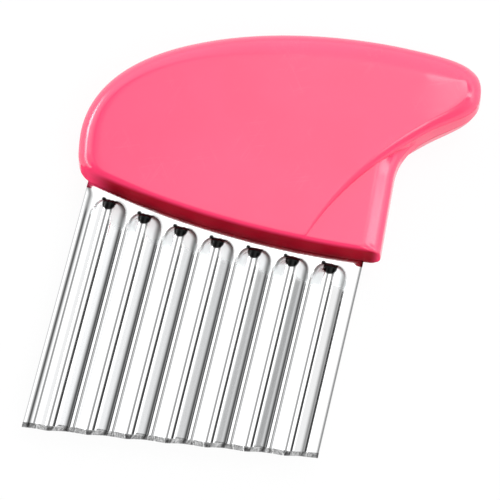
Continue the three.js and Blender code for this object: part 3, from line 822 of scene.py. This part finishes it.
def spot_and_way(points, at):
    here, ahead = bezier(points, at, at + SMALL_STEP, 1)
    return here, (ahead - here) / np.linalg.norm(ahead - here)


neck_way = (NECK - NECK_FOOT) / np.linalg.norm(NECK - NECK_FOOT)
under_nose = [NECK, NECK + NECK_PULL * neck_way, NOSE - (0, NOSE_PULL_DOWN), NOSE]
over_nose = [NOSE, NOSE + (0, NOSE_PULL_UP), CROWN + (CROWN_PULL_RIGHT, 0), CROWN]
crown_line = [CROWN, CROWN - (CROWN_PULL_LEFT, 0), BACK + (0, BACK_PULL_UP), BACK]
back_end = [BACK, BACK - (0, BACK_PULL_DOWN), BACK_FOOT]
join_point, join_way = spot_and_way(under_nose, JOIN)
crease = [CREASE_FOOT, CREASE_FOOT + CREASE_PULL, join_point - JOIN_PULL * join_way, join_point]
print("crease joins the neck at", np.round(join_point, 2))

# %% Outline paths
NECK_ROUND = 4.2
NOSE_ROUND = 3.4
CROWN_ROUND = 7.5
BACK_ROUND = 3.8
CREASE_ROUND = 0.35
JOIN_ROUND = 2.0
NECK_END = 0.36
NECK_TURN = 9.0
NECK_SHOULDER = (22, 38)
NECK_INSIDE = [(14, 26), (10, 20), (9, -4)]
CROWN_STEPS = 120


def outline_path(pieces):
    points, rounds = [], []
    for curve, first, last in pieces:
        t = np.linspace(0, 1, len(curve))[:-1]
        points.append(curve[:-1])
        rounds.append(first + (last - first) * t * t * (3 - 2 * t))
    points = np.vstack([*points, pieces[-1][0][-1:]])
    rounds = np.append(np.concatenate(rounds), pieces[-1][2])
    way = np.gradient(points, axis=0)
    way /= np.linalg.norm(way, axis=1)[:, None]
    return points, np.stack([-way[:, 1], way[:, 0]], axis=1), rounds


palm_path = outline_path([
    (bezier(crease), CREASE_ROUND, JOIN_ROUND),
    (bezier(under_nose, JOIN, 1.0), JOIN_ROUND, NOSE_ROUND),
    (bezier(over_nose), NOSE_ROUND, CROWN_ROUND),
    (bezier(crown_line, steps=CROWN_STEPS), CROWN_ROUND, BACK_ROUND),
    (bezier(back_end), BACK_ROUND, BACK_ROUND),
])
neck_top, top_way = spot_and_way(under_nose, NECK_END)
neck_path = outline_path([
    (bezier([NECK_FOOT, NECK]), NECK_ROUND, NECK_ROUND),
    (bezier(under_nose, 0.0, NECK_END), NECK_ROUND, NECK_ROUND),
    (
        bezier([neck_top, neck_top + NECK_TURN * top_way, NECK_SHOULDER, NECK_INSIDE[0]]),
        NECK_ROUND,
        CREASE_ROUND,
    ),
    (bezier(NECK_INSIDE), CREASE_ROUND, CREASE_ROUND),
])
print("outline points:", len(palm_path[0]), "palm,", len(neck_path[0]), "neck")

# %% [markdown]
# ## Handle bodies
# A moulded half has drafted walls, a rounded edge and a nearly flat face. A bevel on an extruded outline
# could round the edge, but only by one width, and here the width changes along the outline. So each half
# is a stack of rings: the outline on the parting plane, the foot of the edge rounding, then the rounding
# itself in small turns, and last the face. Each ring is the outline drawn in by its own amount, trimmed by
# the lower arc and given two small corner fillets. All rings have the same number of points, so they join
# with plain quads.

# %% Ring builder
UPPER_POINTS = 320
LOWER_POINTS = 90
FILLET_POINTS = 9
ARC_SAMPLES = 200
LEFT_FILLET = 3.4
RIGHT_FILLET = 1.3
DRAFT = math.tan(math.radians(5))
LOWER_DRAFT = math.tan(math.radians(8))
RIM_WIDTH = (1.2, 1.6)
RIM_DEPTH = (2.2, 4.5)
RIM_FROM = -12.0
RIM_OVER = 20.0
ROUND_DEPTH_SHARE = 0.74


def rim(x, sizes):
    t = np.clip((RIM_FROM - x) / RIM_OVER, 0, 1)
    return sizes[0] + (sizes[1] - sizes[0]) * t * t * (3 - 2 * t)


def resample(line, count):
    run = np.append(0, np.cumsum(np.linalg.norm(np.diff(line, axis=0), axis=1)))
    at = np.linspace(0, run[-1], count)
    return np.stack([np.interp(at, run, line[:, k]) for k in range(3)], axis=1)


def shorten(line, first, last):
    run = np.append(0, np.cumsum(np.linalg.norm(np.diff(line[:, :2], axis=0), axis=1)))
    at = np.concatenate([[first], run[(run > first) & (run < run[-1] - last)], [run[-1] - last]])
    return np.stack([np.interp(at, run, line[:, k]) for k in range(3)], axis=1)


def closed_ring(upper, lift, low_height):
    height = upper[:, 1] - lower_arc(upper[:, 0]) - lift(upper[:, 0])
    inside = np.flatnonzero(height > 0)
    ends = []
    for a, b in ((inside[0] - 1, inside[0]), (inside[-1] + 1, inside[-1])):
        share = height[a] / (height[a] - height[b])
        ends.append(upper[a] + share * (upper[b] - upper[a]))
    side = np.vstack([ends[0], upper[inside[0] : inside[-1] + 1], ends[1]])
    x = np.linspace(ends[1][0], ends[0][0], ARC_SAMPLES)
    low = np.column_stack([x, lower_arc(x) + lift(x)])
    low = np.column_stack([low, low_height(low)])
    side_cut = shorten(side, RIGHT_FILLET, LEFT_FILLET)
    low_cut = shorten(low, LEFT_FILLET, RIGHT_FILLET)
    corner_left = (side[-1] + low[0]) / 2
    corner_right = (side[0] + low[-1]) / 2
    t = np.linspace(0, 1, FILLET_POINTS + 2)[1:-1, None]

    def fillet(a, corner, b):
        return (1 - t) ** 2 * a + 2 * t * (1 - t) * corner + t * t * b

    left = fillet(side_cut[-1], corner_left, low_cut[0])
    right = fillet(low_cut[-1], corner_right, side_cut[0])
    return np.vstack([resample(side_cut, UPPER_POINTS), left, resample(low_cut, LOWER_POINTS), right])


print("points in a ring:", UPPER_POINTS + LOWER_POINTS + 2 * FILLET_POINTS)

# %% Body builder
TURNS = np.linspace(0, math.pi / 2, 19)
FACE_RINGS = (0.96, 0.9, 0.8, 0.66, 0.5, 0.32, 0.15)
SOFT_POWER = 2.0
CRISP_POWER = 1.45


def body_rings(path, face_level, centre, depth_share):
    points, inward, rounds = path
    depth = np.minimum(rounds * depth_share, face_level(points) * ROUND_DEPTH_SHARE)
    slope = (HALF_THICKNESS - depth) * DRAFT
    lean = (HALF_THICKNESS - RIM_DEPTH[0]) * LOWER_DRAFT
    softness = np.clip((rounds - BACK_ROUND) / (CROWN_ROUND - BACK_ROUND), 0, 1)
    bend = 2 / (CRISP_POWER + (SOFT_POWER - CRISP_POWER) * softness)
    rings = []

    def rim_foot(low):
        return face_level(low) - rim(low[:, 0], RIM_DEPTH)

    for share in (0.0, 0.5):
        drawn = points + inward * (slope * share)[:, None]
        z = (face_level(points) - depth) * share
        upper = np.column_stack([drawn, z])
        rings.append(closed_ring(upper, lambda x: lean * share, lambda low: rim_foot(low) * share))
    for turn in TURNS:
        inset = 1 - max(math.cos(turn), 0.0) ** bend
        lift = math.sin(turn) ** bend
        drawn = points + inward * (slope + rounds * inset)[:, None]
        upper = np.column_stack([drawn, face_level(drawn) - depth * (1 - lift)])
        out, rise = 1 - math.cos(turn), math.sin(turn)
        rings.append(closed_ring(
            upper,
            lambda x: lean + rim(x, RIM_WIDTH) * out,
            lambda low: rim_foot(low) + rim(low[:, 0], RIM_DEPTH) * rise,
        ))
    edge = rings[-1]
    for share in FACE_RINGS:
        flat = centre + share * (edge[:, :2] - centre)
        rings.append(np.column_stack([flat, face_level(flat)]))
    return rings


def solid_from(name, points, faces):
    mesh = bpy.data.meshes.new(name)
    mesh.from_pydata(to_scene(points).tolist(), [], faces)
    mesh.update()
    piece = bpy.data.objects.new(name, mesh)
    bpy.context.scene.collection.objects.link(piece)
    return piece


def body_mesh(name, path, face_level, centre, depth_share):
    front = body_rings(path, face_level, np.array(centre), depth_share)
    rings = [ring * (1, 1, -1) for ring in front[:0:-1]] + front
    count = len(rings[0])
    top = face_level(np.array([centre]))[0]
    points = np.vstack([*rings, [[*centre, -top], [*centre, top]]])
    faces = []
    for r in range(len(rings) - 1):
        for i in range(count):
            j = (i + 1) % count
            faces.append((r * count + i, r * count + j, (r + 1) * count + j, (r + 1) * count + i))
    last = (len(rings) - 1) * count
    for i in range(count):
        j = (i + 1) % count
        faces.append((len(points) - 2, j, i))
        faces.append((len(points) - 1, last + i, last + j))
    return solid_from(name, points, faces)


print("face rings:", len(FACE_RINGS), "and turns:", len(TURNS))

# %% Palm and neck
STEP_AT_LOWER_EDGE = 0.2
STEP_AT_NECK = 1.0
NECK_FALL = math.tan(math.radians(1.4))
NOSE_FOLD = 36.0
NOSE_FOLD_LEAN = 0.238
NOSE_FALL = math.tan(math.radians(3.8))
NOSE_FOLD_SOFTNESS = 0.8
PALM_CENTRE = (8.0, 27.0)
PALM_DEPTH_SHARE = 1.0
NECK_CENTRE = (22.0, 12.0)
NECK_DEPTH_SHARE = 0.75


def palm_level(points):
    past = points[:, 0] - NOSE_FOLD + NOSE_FOLD_LEAN * (points[:, 1] - NOSE[1])
    past = np.maximum(past, 0)
    return HALF_THICKNESS - NOSE_FALL * past**2 / (past + NOSE_FOLD_SOFTNESS)


def neck_level(points):
    share = points[:, 1] / NECK[1]
    sunk = STEP_AT_LOWER_EDGE + (STEP_AT_NECK - STEP_AT_LOWER_EDGE) * share
    return HALF_THICKNESS - sunk - NECK_FALL * (points[:, 0] - CREASE_FOOT[0])


palm = body_mesh("palm_body", palm_path, palm_level, PALM_CENTRE, PALM_DEPTH_SHARE)
neck = body_mesh("neck_body", neck_path, neck_level, NECK_CENTRE, NECK_DEPTH_SHARE)
print("palm", len(palm.data.polygons), "faces, neck", len(neck.data.polygons), "faces")

# %% [markdown]
# ## Cutting the two halves
# Palm and neck are joined with a Boolean. The halves part on the drawing's Z 0 with a hair of a gap, but
# along the blade the front half reaches down to the sheet, and both leave a slot for it. The back half
# also has three counterbores for the screw heads. Blender's Manifold solver keeps all of this closed.


# %% Boolean helper
def combine(target, tool, operation):
    step = target.modifiers.new("step", "BOOLEAN")
    step.operation = operation
    step.solver = "MANIFOLD"
    step.object = tool
    result = target.evaluated_get(bpy.context.evaluated_depsgraph_get())
    mesh = bpy.data.meshes.new_from_object(result)
    target.modifiers.clear()
    target.data = mesh
    bpy.data.objects.remove(tool)


def copy_of(piece, name):
    twin = bpy.data.objects.new(name, piece.data.copy())
    bpy.context.scene.collection.objects.link(twin)
    return twin


def strip(name, x, y_low, y_high, z_low, z_high):
    lower = [np.column_stack([x, y, z_low]) for y in (y_low, y_high)]
    upper = [np.column_stack([x, y, z_high]) for y in (y_low, y_high)]
    points = np.vstack(lower + upper)
    n = len(x)
    faces = []
    for i in range(n - 1):
        faces.append((i, n + i, n + i + 1, i + 1))
        faces.append((2 * n + i, 2 * n + i + 1, 3 * n + i + 1, 3 * n + i))
        faces.append((i, i + 1, 2 * n + i + 1, 2 * n + i))
        faces.append((n + i, 3 * n + i, 3 * n + i + 1, n + i + 1))
    faces.append((0, 2 * n, 3 * n, n))
    faces.append((n - 1, 2 * n - 1, 4 * n - 1, 3 * n - 1))
    return solid_from(name, points, faces)


combine(palm, neck, "UNION")
print("whole handle:", len(palm.data.polygons), "faces")

# %% Blade slot
SEAM = 0.15
CLEARANCE = 0.3
SLOT_POINTS = 161
SLOT_BELOW = -8.0
CURTAIN_TOP = 4.0
TOOL_REACH = 80.0
TOOL_HEIGHT = 20.0
slot_x = np.linspace(BLADE_SIZES["Left"] - CLEARANCE, BLADE_SIZES["Right"] + CLEARANCE, SLOT_POINTS)
slot_z = np.full(SLOT_POINTS, -BLADE_SIZES["Height"] / 2)
slot_end = lower_arc(slot_x) + BLADE_SIZES["Seat"] + CLEARANCE
slot_low = np.full(SLOT_POINTS, SLOT_BELOW)
reach = BLADE_SIZES["Thickness"] / 2 + CLEARANCE


def slot_tool():
    return strip("slot_tool", slot_x, slot_low, slot_end, slot_z - reach, slot_z + reach)


def curtain_tool():
    return strip("curtain_tool", slot_x, slot_low, slot_end, slot_z, np.full(SLOT_POINTS, CURTAIN_TOP))


def half_tool(z_low, z_high):
    ends = np.array([-TOOL_REACH, TOOL_REACH])
    flat = np.ones(2)
    return strip("half_tool", ends, -TOOL_REACH * flat, TOOL_REACH * flat, z_low * flat, z_high * flat)


front = copy_of(palm, "front_shell_skin")
back = palm
back.name = "back_shell_skin"
upper = half_tool(SEAM, TOOL_HEIGHT)
combine(upper, curtain_tool(), "UNION")
combine(front, upper, "INTERSECT")
combine(front, slot_tool(), "DIFFERENCE")
lower = half_tool(-TOOL_HEIGHT, -SEAM)
combine(lower, curtain_tool(), "DIFFERENCE")
combine(back, lower, "INTERSECT")
combine(back, slot_tool(), "DIFFERENCE")
print("front", len(front.data.polygons), "faces, back", len(back.data.polygons), "faces")

# %% Screw places and counterbores
SCREW_HEAD = 2.5
SCREW_SHANK = 1.3
HEAD_HEIGHT = 1.9
HEAD_SUNK = 1.1
FRONT_COVER = 3.5
LEFT_SCREW_IN = 14.0
RIGHT_SCREW_IN = 20.4
SCREW_ABOVE_EDGE = 8.0
NOSE_SCREW_IN = 12.0
NOSE_SCREW_DOWN = 1.1
BORE_POINTS = 64
BORE_BELOW = -12.0
HEAD_LEVEL = -HALF_THICKNESS + HEAD_SUNK + HEAD_HEIGHT
SCREW_LENGTH = HALF_THICKNESS - FRONT_COVER - HEAD_LEVEL
screw_x = [BLADE_SIZES["Left"] + LEFT_SCREW_IN, BLADE_SIZES["Right"] - RIGHT_SCREW_IN]
screw_places = [(x, float(lower_arc(x)) + SCREW_ABOVE_EDGE, HEAD_LEVEL) for x in screw_x]
screw_places.append((NOSE[0] - NOSE_SCREW_IN, NOSE[1] - NOSE_SCREW_DOWN, HEAD_LEVEL))


def bore_tool(place):
    n = BORE_POINTS
    turn = np.linspace(0, 2 * math.pi, n + 1)[:-1]
    circle = np.column_stack([np.cos(turn), np.sin(turn)]) * (SCREW_HEAD + CLEARANCE) + place[:2]
    points = np.vstack([np.column_stack([circle, np.full(n, z)]) for z in (BORE_BELOW, HEAD_LEVEL)])
    faces = [(i, (i + 1) % n, n + (i + 1) % n, n + i) for i in range(n)]
    faces.append(tuple(range(n - 1, -1, -1)))
    faces.append(tuple(range(n, 2 * n)))
    return solid_from("bore_tool", points, faces)


for place in screw_places:
    combine(back, bore_tool(place), "DIFFERENCE")
    print("counterbore at", [round(v, 2) for v in place])

# %% [markdown]
# ## Finish of the halves
# A palm keeps the faces glossy, the wall under the nose stays satin, and the wall over the blade stays
# matt. Three objects could carry the three finishes, but a moulded half is one piece. So each face takes
# a material slot by the way it points and by its height over the lower arc. A share stored on the points
# fades painted shade, a much darker pink, in along the lower wall.

# %% Finish the halves
GLOSSY_FINISH = 0
SATIN_FINISH = 1
MATT_FINISH = 2
LOWER_EDGE = 4.8
LEFT_CORNER = -30.5
FACING_DOWN = -0.3
CORNER_FACING_DOWN = -0.6
UPRIGHT = 0.4
WALL_HEIGHT = (0.75, 1.45)
WALL_LEFT = (-25.0, -31.5)
WALL_RIGHT = (33.0, 35.5)
SHELL_SHARP = 32


def fade(value, full, none):
    t = np.clip((value - none) / (full - none), 0, 1)
    return t * t * (3 - 2 * t)


# Share of painted shade along the lower wall over the blade.
def wall_shade_share(mesh):
    spots = np.empty(3 * len(mesh.vertices))
    mesh.vertices.foreach_get("co", spots)
    x, y = ((spots.reshape(-1, 3) - np.array(datum)) / MM).T[:2]
    share = fade(y - lower_arc(x), *WALL_HEIGHT) * fade(x, *WALL_LEFT) * fade(x, *WALL_RIGHT)
    mesh.attributes.new("wall_shade", "FLOAT", "POINT").data.foreach_set("value", share)


def finish_of(face):
    spot = (face.center - datum) / MM
    limit = FACING_DOWN if spot.x > LEFT_CORNER else CORNER_FACING_DOWN
    if face.normal.y >= limit:
        return GLOSSY_FINISH
    if spot.y < lower_arc(spot.x) + LOWER_EDGE:
        return MATT_FINISH
    return SATIN_FINISH if abs(face.normal.z) < UPRIGHT else GLOSSY_FINISH


for piece, node in ((front, "front_shell"), (back, "back_shell")):
    piece.data.materials.clear()
    for finish in (plastic, satin_plastic, matt_plastic):
        piece.data.materials.append(finish)
    wall_shade_share(piece.data)
    for face in piece.data.polygons:
        face.material_index = finish_of(face)
    smooth_shading(piece, SHELL_SHARP)
    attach(piece, "root")
    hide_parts(node)
    print(piece.name, len(piece.data.vertices), "points")

# %% [markdown]
# ## Screws
# Three self-tapping screws close the handle from the back: a bevelled head with a cross recess on a plain
# shank. They could be modelled one by one, but they are the same screw three times. So one Geometry Nodes
# tree turns the profile, cuts the cross and sets a copy on each of three points, turned by a seeded amount,
# because no two real screws stop at the same angle.

# %% Screw tree
SCREW_SIZES = {
    "Head": SCREW_HEAD,
    "Head height": HEAD_HEIGHT,
    "Bevel": 0.75,
    "Shank": SCREW_SHANK,
    "Length": SCREW_LENGTH,
    "Tip": 1.2,
    "Drive length": 3.0,
    "Drive width": 0.7,
    "Drive depth": 1.1,
}
SCREW_COLUMNS = 49
SCREW_ROWS = 36
SCREW_SEED = 5
SCREW_SPIN = 1.5
HEAD_SOFTNESS = 0.3
HEAD_DROP = 1.8
DRIVE_ABOVE = 1.0


def turned_screw(w, size):
    m = w.math
    flat = {"Size X": 1.0, "Size Y": 1.0, "Vertices X": SCREW_COLUMNS, "Vertices Y": SCREW_ROWS}
    grid = w.add("GeometryNodeMeshGrid", flat)
    place = w.add("ShaderNodeSeparateXYZ", {0: w.add("GeometryNodeInputPosition").outputs[0]}).outputs
    turn = m("MULTIPLY", place["X"], 2 * math.pi)
    row = m("ADD", place["Y"], 0.5)
    head = size["Head"]
    top = m("MULTIPLY", size["Head height"], -1.0)
    shoulder = m("ADD", top, size["Bevel"])
    soft = m("MULTIPLY", size["Bevel"], HEAD_SOFTNESS)
    shank = size["Shank"]
    shank_end = m("SUBTRACT", size["Length"], size["Tip"])
    profile = [
        (0, 0.0, top),
        (8, m("SUBTRACT", head, size["Bevel"]), top),
        (12, m("SUBTRACT", head, soft), m("SUBTRACT", shoulder, m("MULTIPLY", soft, HEAD_DROP))),
        (16, head, shoulder),
        (20, head, 0.0),
        (24, shank, 0.0),
        (30, shank, shank_end),
        (35, 0.0, size["Length"]),
    ]
    radius = along(w, row, [(step / (SCREW_ROWS - 1), out) for step, out, up in profile])
    height = along(w, row, [(step / (SCREW_ROWS - 1), up) for step, out, up in profile])
    side_x = m("MULTIPLY", radius, m("COSINE", turn))
    side_y = m("MULTIPLY", radius, m("SINE", turn))
    spot = w.add("ShaderNodeCombineXYZ", {0: side_x, 1: side_y, 2: height})
    turned = w.add("GeometryNodeSetPosition", {"Geometry": grid.outputs[0], "Position": spot.outputs[0]})
    weld = {"Geometry": turned.outputs[0], "Distance": MERGE_DISTANCE}
    return w.add("GeometryNodeMergeByDistance", weld).outputs[0]


def cut_cross(w, size, mesh):
    m = w.math
    top = m("MULTIPLY", size["Head height"], -1.0)
    middle = m("ADD", top, m("MULTIPLY_ADD", size["Drive depth"], 0.5, -DRIVE_ABOVE))
    tall = m("ADD", size["Drive depth"], 2 * DRIVE_ABOVE)
    for wide, deep in (("Drive length", "Drive width"), ("Drive width", "Drive length")):
        box = w.add("ShaderNodeCombineXYZ", {0: size[wide], 1: size[deep], 2: tall})
        cube = w.add("GeometryNodeMeshCube", {"Size": box.outputs[0]})
        at = w.add("ShaderNodeCombineXYZ", {2: middle})
        moved = w.add("GeometryNodeTransform", {"Geometry": cube.outputs[0], "Translation": at.outputs[0]})
        step = w.add("GeometryNodeMeshBoolean", {"Mesh 1": mesh}, operation="DIFFERENCE")
        w.put(step.inputs["Mesh 2"], moved.outputs[0])
        mesh = step.outputs["Mesh"]
    return mesh


def screw_tree():
    tree, w, size = geometry_tree("screws", SCREW_SIZES)
    screw = cut_cross(w, size, turned_screw(w, size))
    points = w.add("GeometryNodeMeshToPoints", {"Mesh": size["Geometry"]})
    spin = w.add("FunctionNodeRandomValue", {"Seed": SCREW_SEED}, data_type="FLOAT")
    spin.inputs[2].default_value = 0.0
    spin.inputs[3].default_value = SCREW_SPIN
    angle = w.add("ShaderNodeCombineXYZ", {2: spin.outputs[1]})
    copies = {"Points": points.outputs[0], "Instance": screw, "Rotation": angle.outputs[0]}
    finish_tree(w, w.add("GeometryNodeInstanceOnPoints", copies).outputs[0], zinc)
    return tree


# %% Set the screws
SCREW_SHARP = 30
screw_points = bpy.data.meshes.new("screw_points")
screw_points.from_pydata([list(place) for place in screw_places], [], [])
screws = grow("screws", screw_tree(), SCREW_SIZES, screw_points)
smooth_shading(screws, SCREW_SHARP)
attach(screws, "root")
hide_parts("screw_left", "screw_right", "screw_nose")
print("screws:", len(screws.data.vertices), "points in three screws")

# %% [markdown]
# ## Light
# Bright steel shows whatever is round it, so the light has to be built with as much care as the tool.
# Area lamps could do it, each with its own size and place. Here the whole studio is drawn on the world
# instead, because the level of all but one lamp then depends on two things only: the angle across the
# ribs, which picks a stop of a colour ramp, and how far a direction leans to the back, which is the sky's Y.
#
# Across the ribs, the ramp climbs from a dim left to a bright soft box on the right, which gives every
# rib its own grey. A black card in that box draws the thin dark line beside each crest. The card has a gap
# in the range that the handle's faces mirror. There the near side of the box is dimmer, and a strip lights
# the edge of the neck. Another strip, low on the left, lights the handle's left edge. Along the ribs, the
# level is capped where the ribs look, plain at the sides, dim in front, where the photographer stands, and
# even at the back. One soft lamp stands in front on the right.

# %% Light across the ribs
ACROSS_STOPS = [
    (-90, 1.7), (-75, 1.7), (-62, 1.6), (-50, 0.8), (-42, 0.8), (-34, 0.45), (-24, 0.23), (-21, 0.33),
    (-17.2, 0.5), (-15.8, 0.58), (-14.4, 0.94), (-11.6, 1.2), (-10.2, 1.32), (-5.5, 1.72), (-3.4, 2.1),
    (-1.5, 1.8), (0.8, 1.5), (2.2, 2.1), (4, 2.6), (7, 4.8), (22, 4.8), (28, 4.4), (50, 4.4), (58, 1.3),
    (66, 1.3), (75, 1.8), (90, 1.8),
]
RAMP_TOP = 5.0

world = bpy.data.worlds.new("studio")
bpy.context.scene.world = world
world.use_nodes = True
world.node_tree.nodes.clear()
w = Wiring(world.node_tree)


def light_ramp(value, stops):
    lowest = stops[0][0]
    reach = stops[-1][0] - lowest
    ramp = w.add("ShaderNodeValToRGB", {0: w.span(value, lowest, stops[-1][0], 0.0, 1.0)})
    elements = ramp.color_ramp.elements
    for at, _ in stops[1:-1]:
        elements.new((at - lowest) / reach)
    for element, (_, level) in zip(elements, stops):
        element.color = (level / RAMP_TOP, level / RAMP_TOP, level / RAMP_TOP, 1)
    return w.math("MULTIPLY", ramp.outputs[0], RAMP_TOP)


direction = w.add("ShaderNodeTexCoord").outputs["Generated"]
sky = w.add("ShaderNodeSeparateXYZ", {0: direction}).outputs
tilt = w.math("DEGREES", w.math("ARCTAN2", sky["X"], sky["Z"]))
overhead = light_ramp(tilt, ACROSS_STOPS)
print("studio light with", len(ACROSS_STOPS), "stops across the ribs")

# %% Card and strips
CARD_TILT = (23, 31, 70, 75)
CARD_DARKNESS = 0.97
CARD_FRONT = (-0.02, 0.04)
HANDLE_RANGE = (0.2, 0.215, 0.36, 0.39)
NECK_FADE = (0.35, 0.37)
NEAR_TILT = (1.5, 5, 32, 38)
NEAR_DIMMING = 0.55
NECK_STRIP_TILT = (48, 58, 72, 80)
NECK_STRIP = 3.6
LEFT_STRIP_TILT = (-96, -92, -84, -81)
LEFT_STRIP = 11.0
LEFT_STRIP_FRONT = (0.06, 0.2)
LEFT_STRIP_FRONT_SHARE = 0.45
LEFT_STRIP_BACK = (0.3, 0.6)


def window(value, edges):
    opening = w.span(value, edges[0], edges[1], 0.0, 1.0)
    return w.math("MULTIPLY", opening, w.span(value, edges[2], edges[3], 1.0, 0.0))


gap = window(sky["Y"], HANDLE_RANGE)
card_length = w.math("SUBTRACT", w.span(sky["Y"], *CARD_FRONT, 0.0, 1.0), gap)
card = w.math("MULTIPLY", window(tilt, CARD_TILT), w.math("MULTIPLY", card_length, CARD_DARKNESS))
overhead = w.math("MULTIPLY", overhead, w.math("SUBTRACT", 1.0, card))
neck_range = w.math("MULTIPLY", gap, w.span(sky["Y"], *NECK_FADE, 1.0, 0.0))
dimmed = w.math("MULTIPLY", window(tilt, NEAR_TILT), w.math("MULTIPLY", neck_range, NEAR_DIMMING))
overhead = w.math("MULTIPLY", overhead, w.math("SUBTRACT", 1.0, dimmed))
neck_strip = w.math("MULTIPLY", window(tilt, NECK_STRIP_TILT), NECK_STRIP)
overhead = w.math("MULTIPLY_ADD", neck_strip, neck_range, overhead)
strip_front = w.span(sky["Y"], *LEFT_STRIP_FRONT, LEFT_STRIP_FRONT_SHARE, 1.0)
strip_length = w.math("MULTIPLY", strip_front, w.span(sky["Y"], *LEFT_STRIP_BACK, LEFT_STRIP, 0.0))
left_strip = w.math("MULTIPLY", window(tilt, LEFT_STRIP_TILT), strip_length)
print("card from", CARD_TILT[0], "to", CARD_TILT[-1], "degrees, left strip of level", LEFT_STRIP)

# %% Light along the ribs
RIB_LEVEL = 1.7
RIB_RANGE_END = (0.19, 0.21)
SIDE_LEVEL = 0.8
SIDE_FADE = (-0.03, 0.04)
FRONT_LEVEL = 0.4
FRONT_FADE = (-0.5, -0.1)
BACK_LEVEL = 1.45
BACK_FADE = (0.42, 0.66)


def toward(share, first, second):
    return w.math("MULTIPLY_ADD", share, w.math("SUBTRACT", second, first), first)


cap = w.span(sky["Y"], *RIB_RANGE_END, RIB_LEVEL, RAMP_TOP)
overhead = w.math("MINIMUM", overhead, cap)
plain = w.math("MINIMUM", overhead, SIDE_LEVEL)
overhead = toward(w.span(sky["Y"], *SIDE_FADE, 1.0, 0.0), overhead, plain)
overhead = toward(w.span(sky["Y"], *FRONT_FADE, 1.0, 0.0, smooth=True), overhead, FRONT_LEVEL)
overhead = toward(w.span(sky["Y"], *BACK_FADE, 0.0, 1.0, smooth=True), overhead, BACK_LEVEL)
print("levels: ribs", RIB_LEVEL, "sides", SIDE_LEVEL, "front", FRONT_LEVEL, "back", BACK_LEVEL)

# %% Side lamp and world output
SIDE_LAMP = Vector((0.45, -0.46, 0.76)).normalized()
SIDE_LAMP_LEVEL = 3.4
SIDE_LAMP_EDGE = (math.cos(0.36), math.cos(0.22))
facing = w.add("ShaderNodeVectorMath", {0: direction, 1: tuple(SIDE_LAMP)}, operation="DOT_PRODUCT")
side_lamp = w.span(facing.outputs["Value"], *SIDE_LAMP_EDGE, 0.0, SIDE_LAMP_LEVEL, smooth=True)
studio = w.math("ADD", w.math("ADD", overhead, left_strip), side_lamp)
seen = w.add("ShaderNodeLightPath").outputs["Is Camera Ray"]
strength = toward(seen, studio, 1.0)
sky_light = w.add("ShaderNodeBackground", {"Color": (1, 1, 1, 1), "Strength": strength})
w.add("ShaderNodeOutputWorld", {"Surface": sky_light.outputs[0]})
print("side lamp of level", SIDE_LAMP_LEVEL)

# %% [markdown]
# ## Floor
# The tool lies on a plain white table. A lit white sheet would do, but it would turn grey or clip with
# every change of the light. So to the camera and in reflections the table is mostly white by itself, as in
# the photograph, and the rest of it takes light and keeps the tool's faint shadow.

# %% Floor
TABLE_HALF = 1.5
TABLE_WHITE = (0.92, 0.92, 0.92, 1.0)
TABLE_GLOW_SHARE = 0.93


def make_floor_white():
    material = bpy.data.materials.new("table_white")
    material.use_nodes = True
    material.node_tree.nodes.clear()
    w = Wiring(material.node_tree)
    matt = w.add("ShaderNodeBsdfDiffuse", {"Color": TABLE_WHITE})
    glow = w.add("ShaderNodeEmission", {"Strength": 1.0})
    path = w.add("ShaderNodeLightPath").outputs
    direct = w.math("MINIMUM", 1.0, w.math("ADD", path["Is Camera Ray"], path["Is Glossy Ray"]))
    share = w.math("MULTIPLY", direct, TABLE_GLOW_SHARE)
    mix = w.add("ShaderNodeMixShader", {0: share, 1: matt.outputs[0], 2: glow.outputs[0]})
    w.add("ShaderNodeOutputMaterial", {"Surface": mix.outputs[0]})
    return material


corners = [(-1, -1), (1, -1), (1, 1), (-1, 1)]
floor_mesh = bpy.data.meshes.new("table")
floor_mesh.from_pydata([(x * TABLE_HALF, y * TABLE_HALF, 0) for x, y in corners], [], [(0, 1, 2, 3)])
floor = bpy.data.objects.new("table", floor_mesh)
bpy.context.scene.collection.objects.link(floor)
floor.data.materials.append(make_floor_white())
print("table laid")
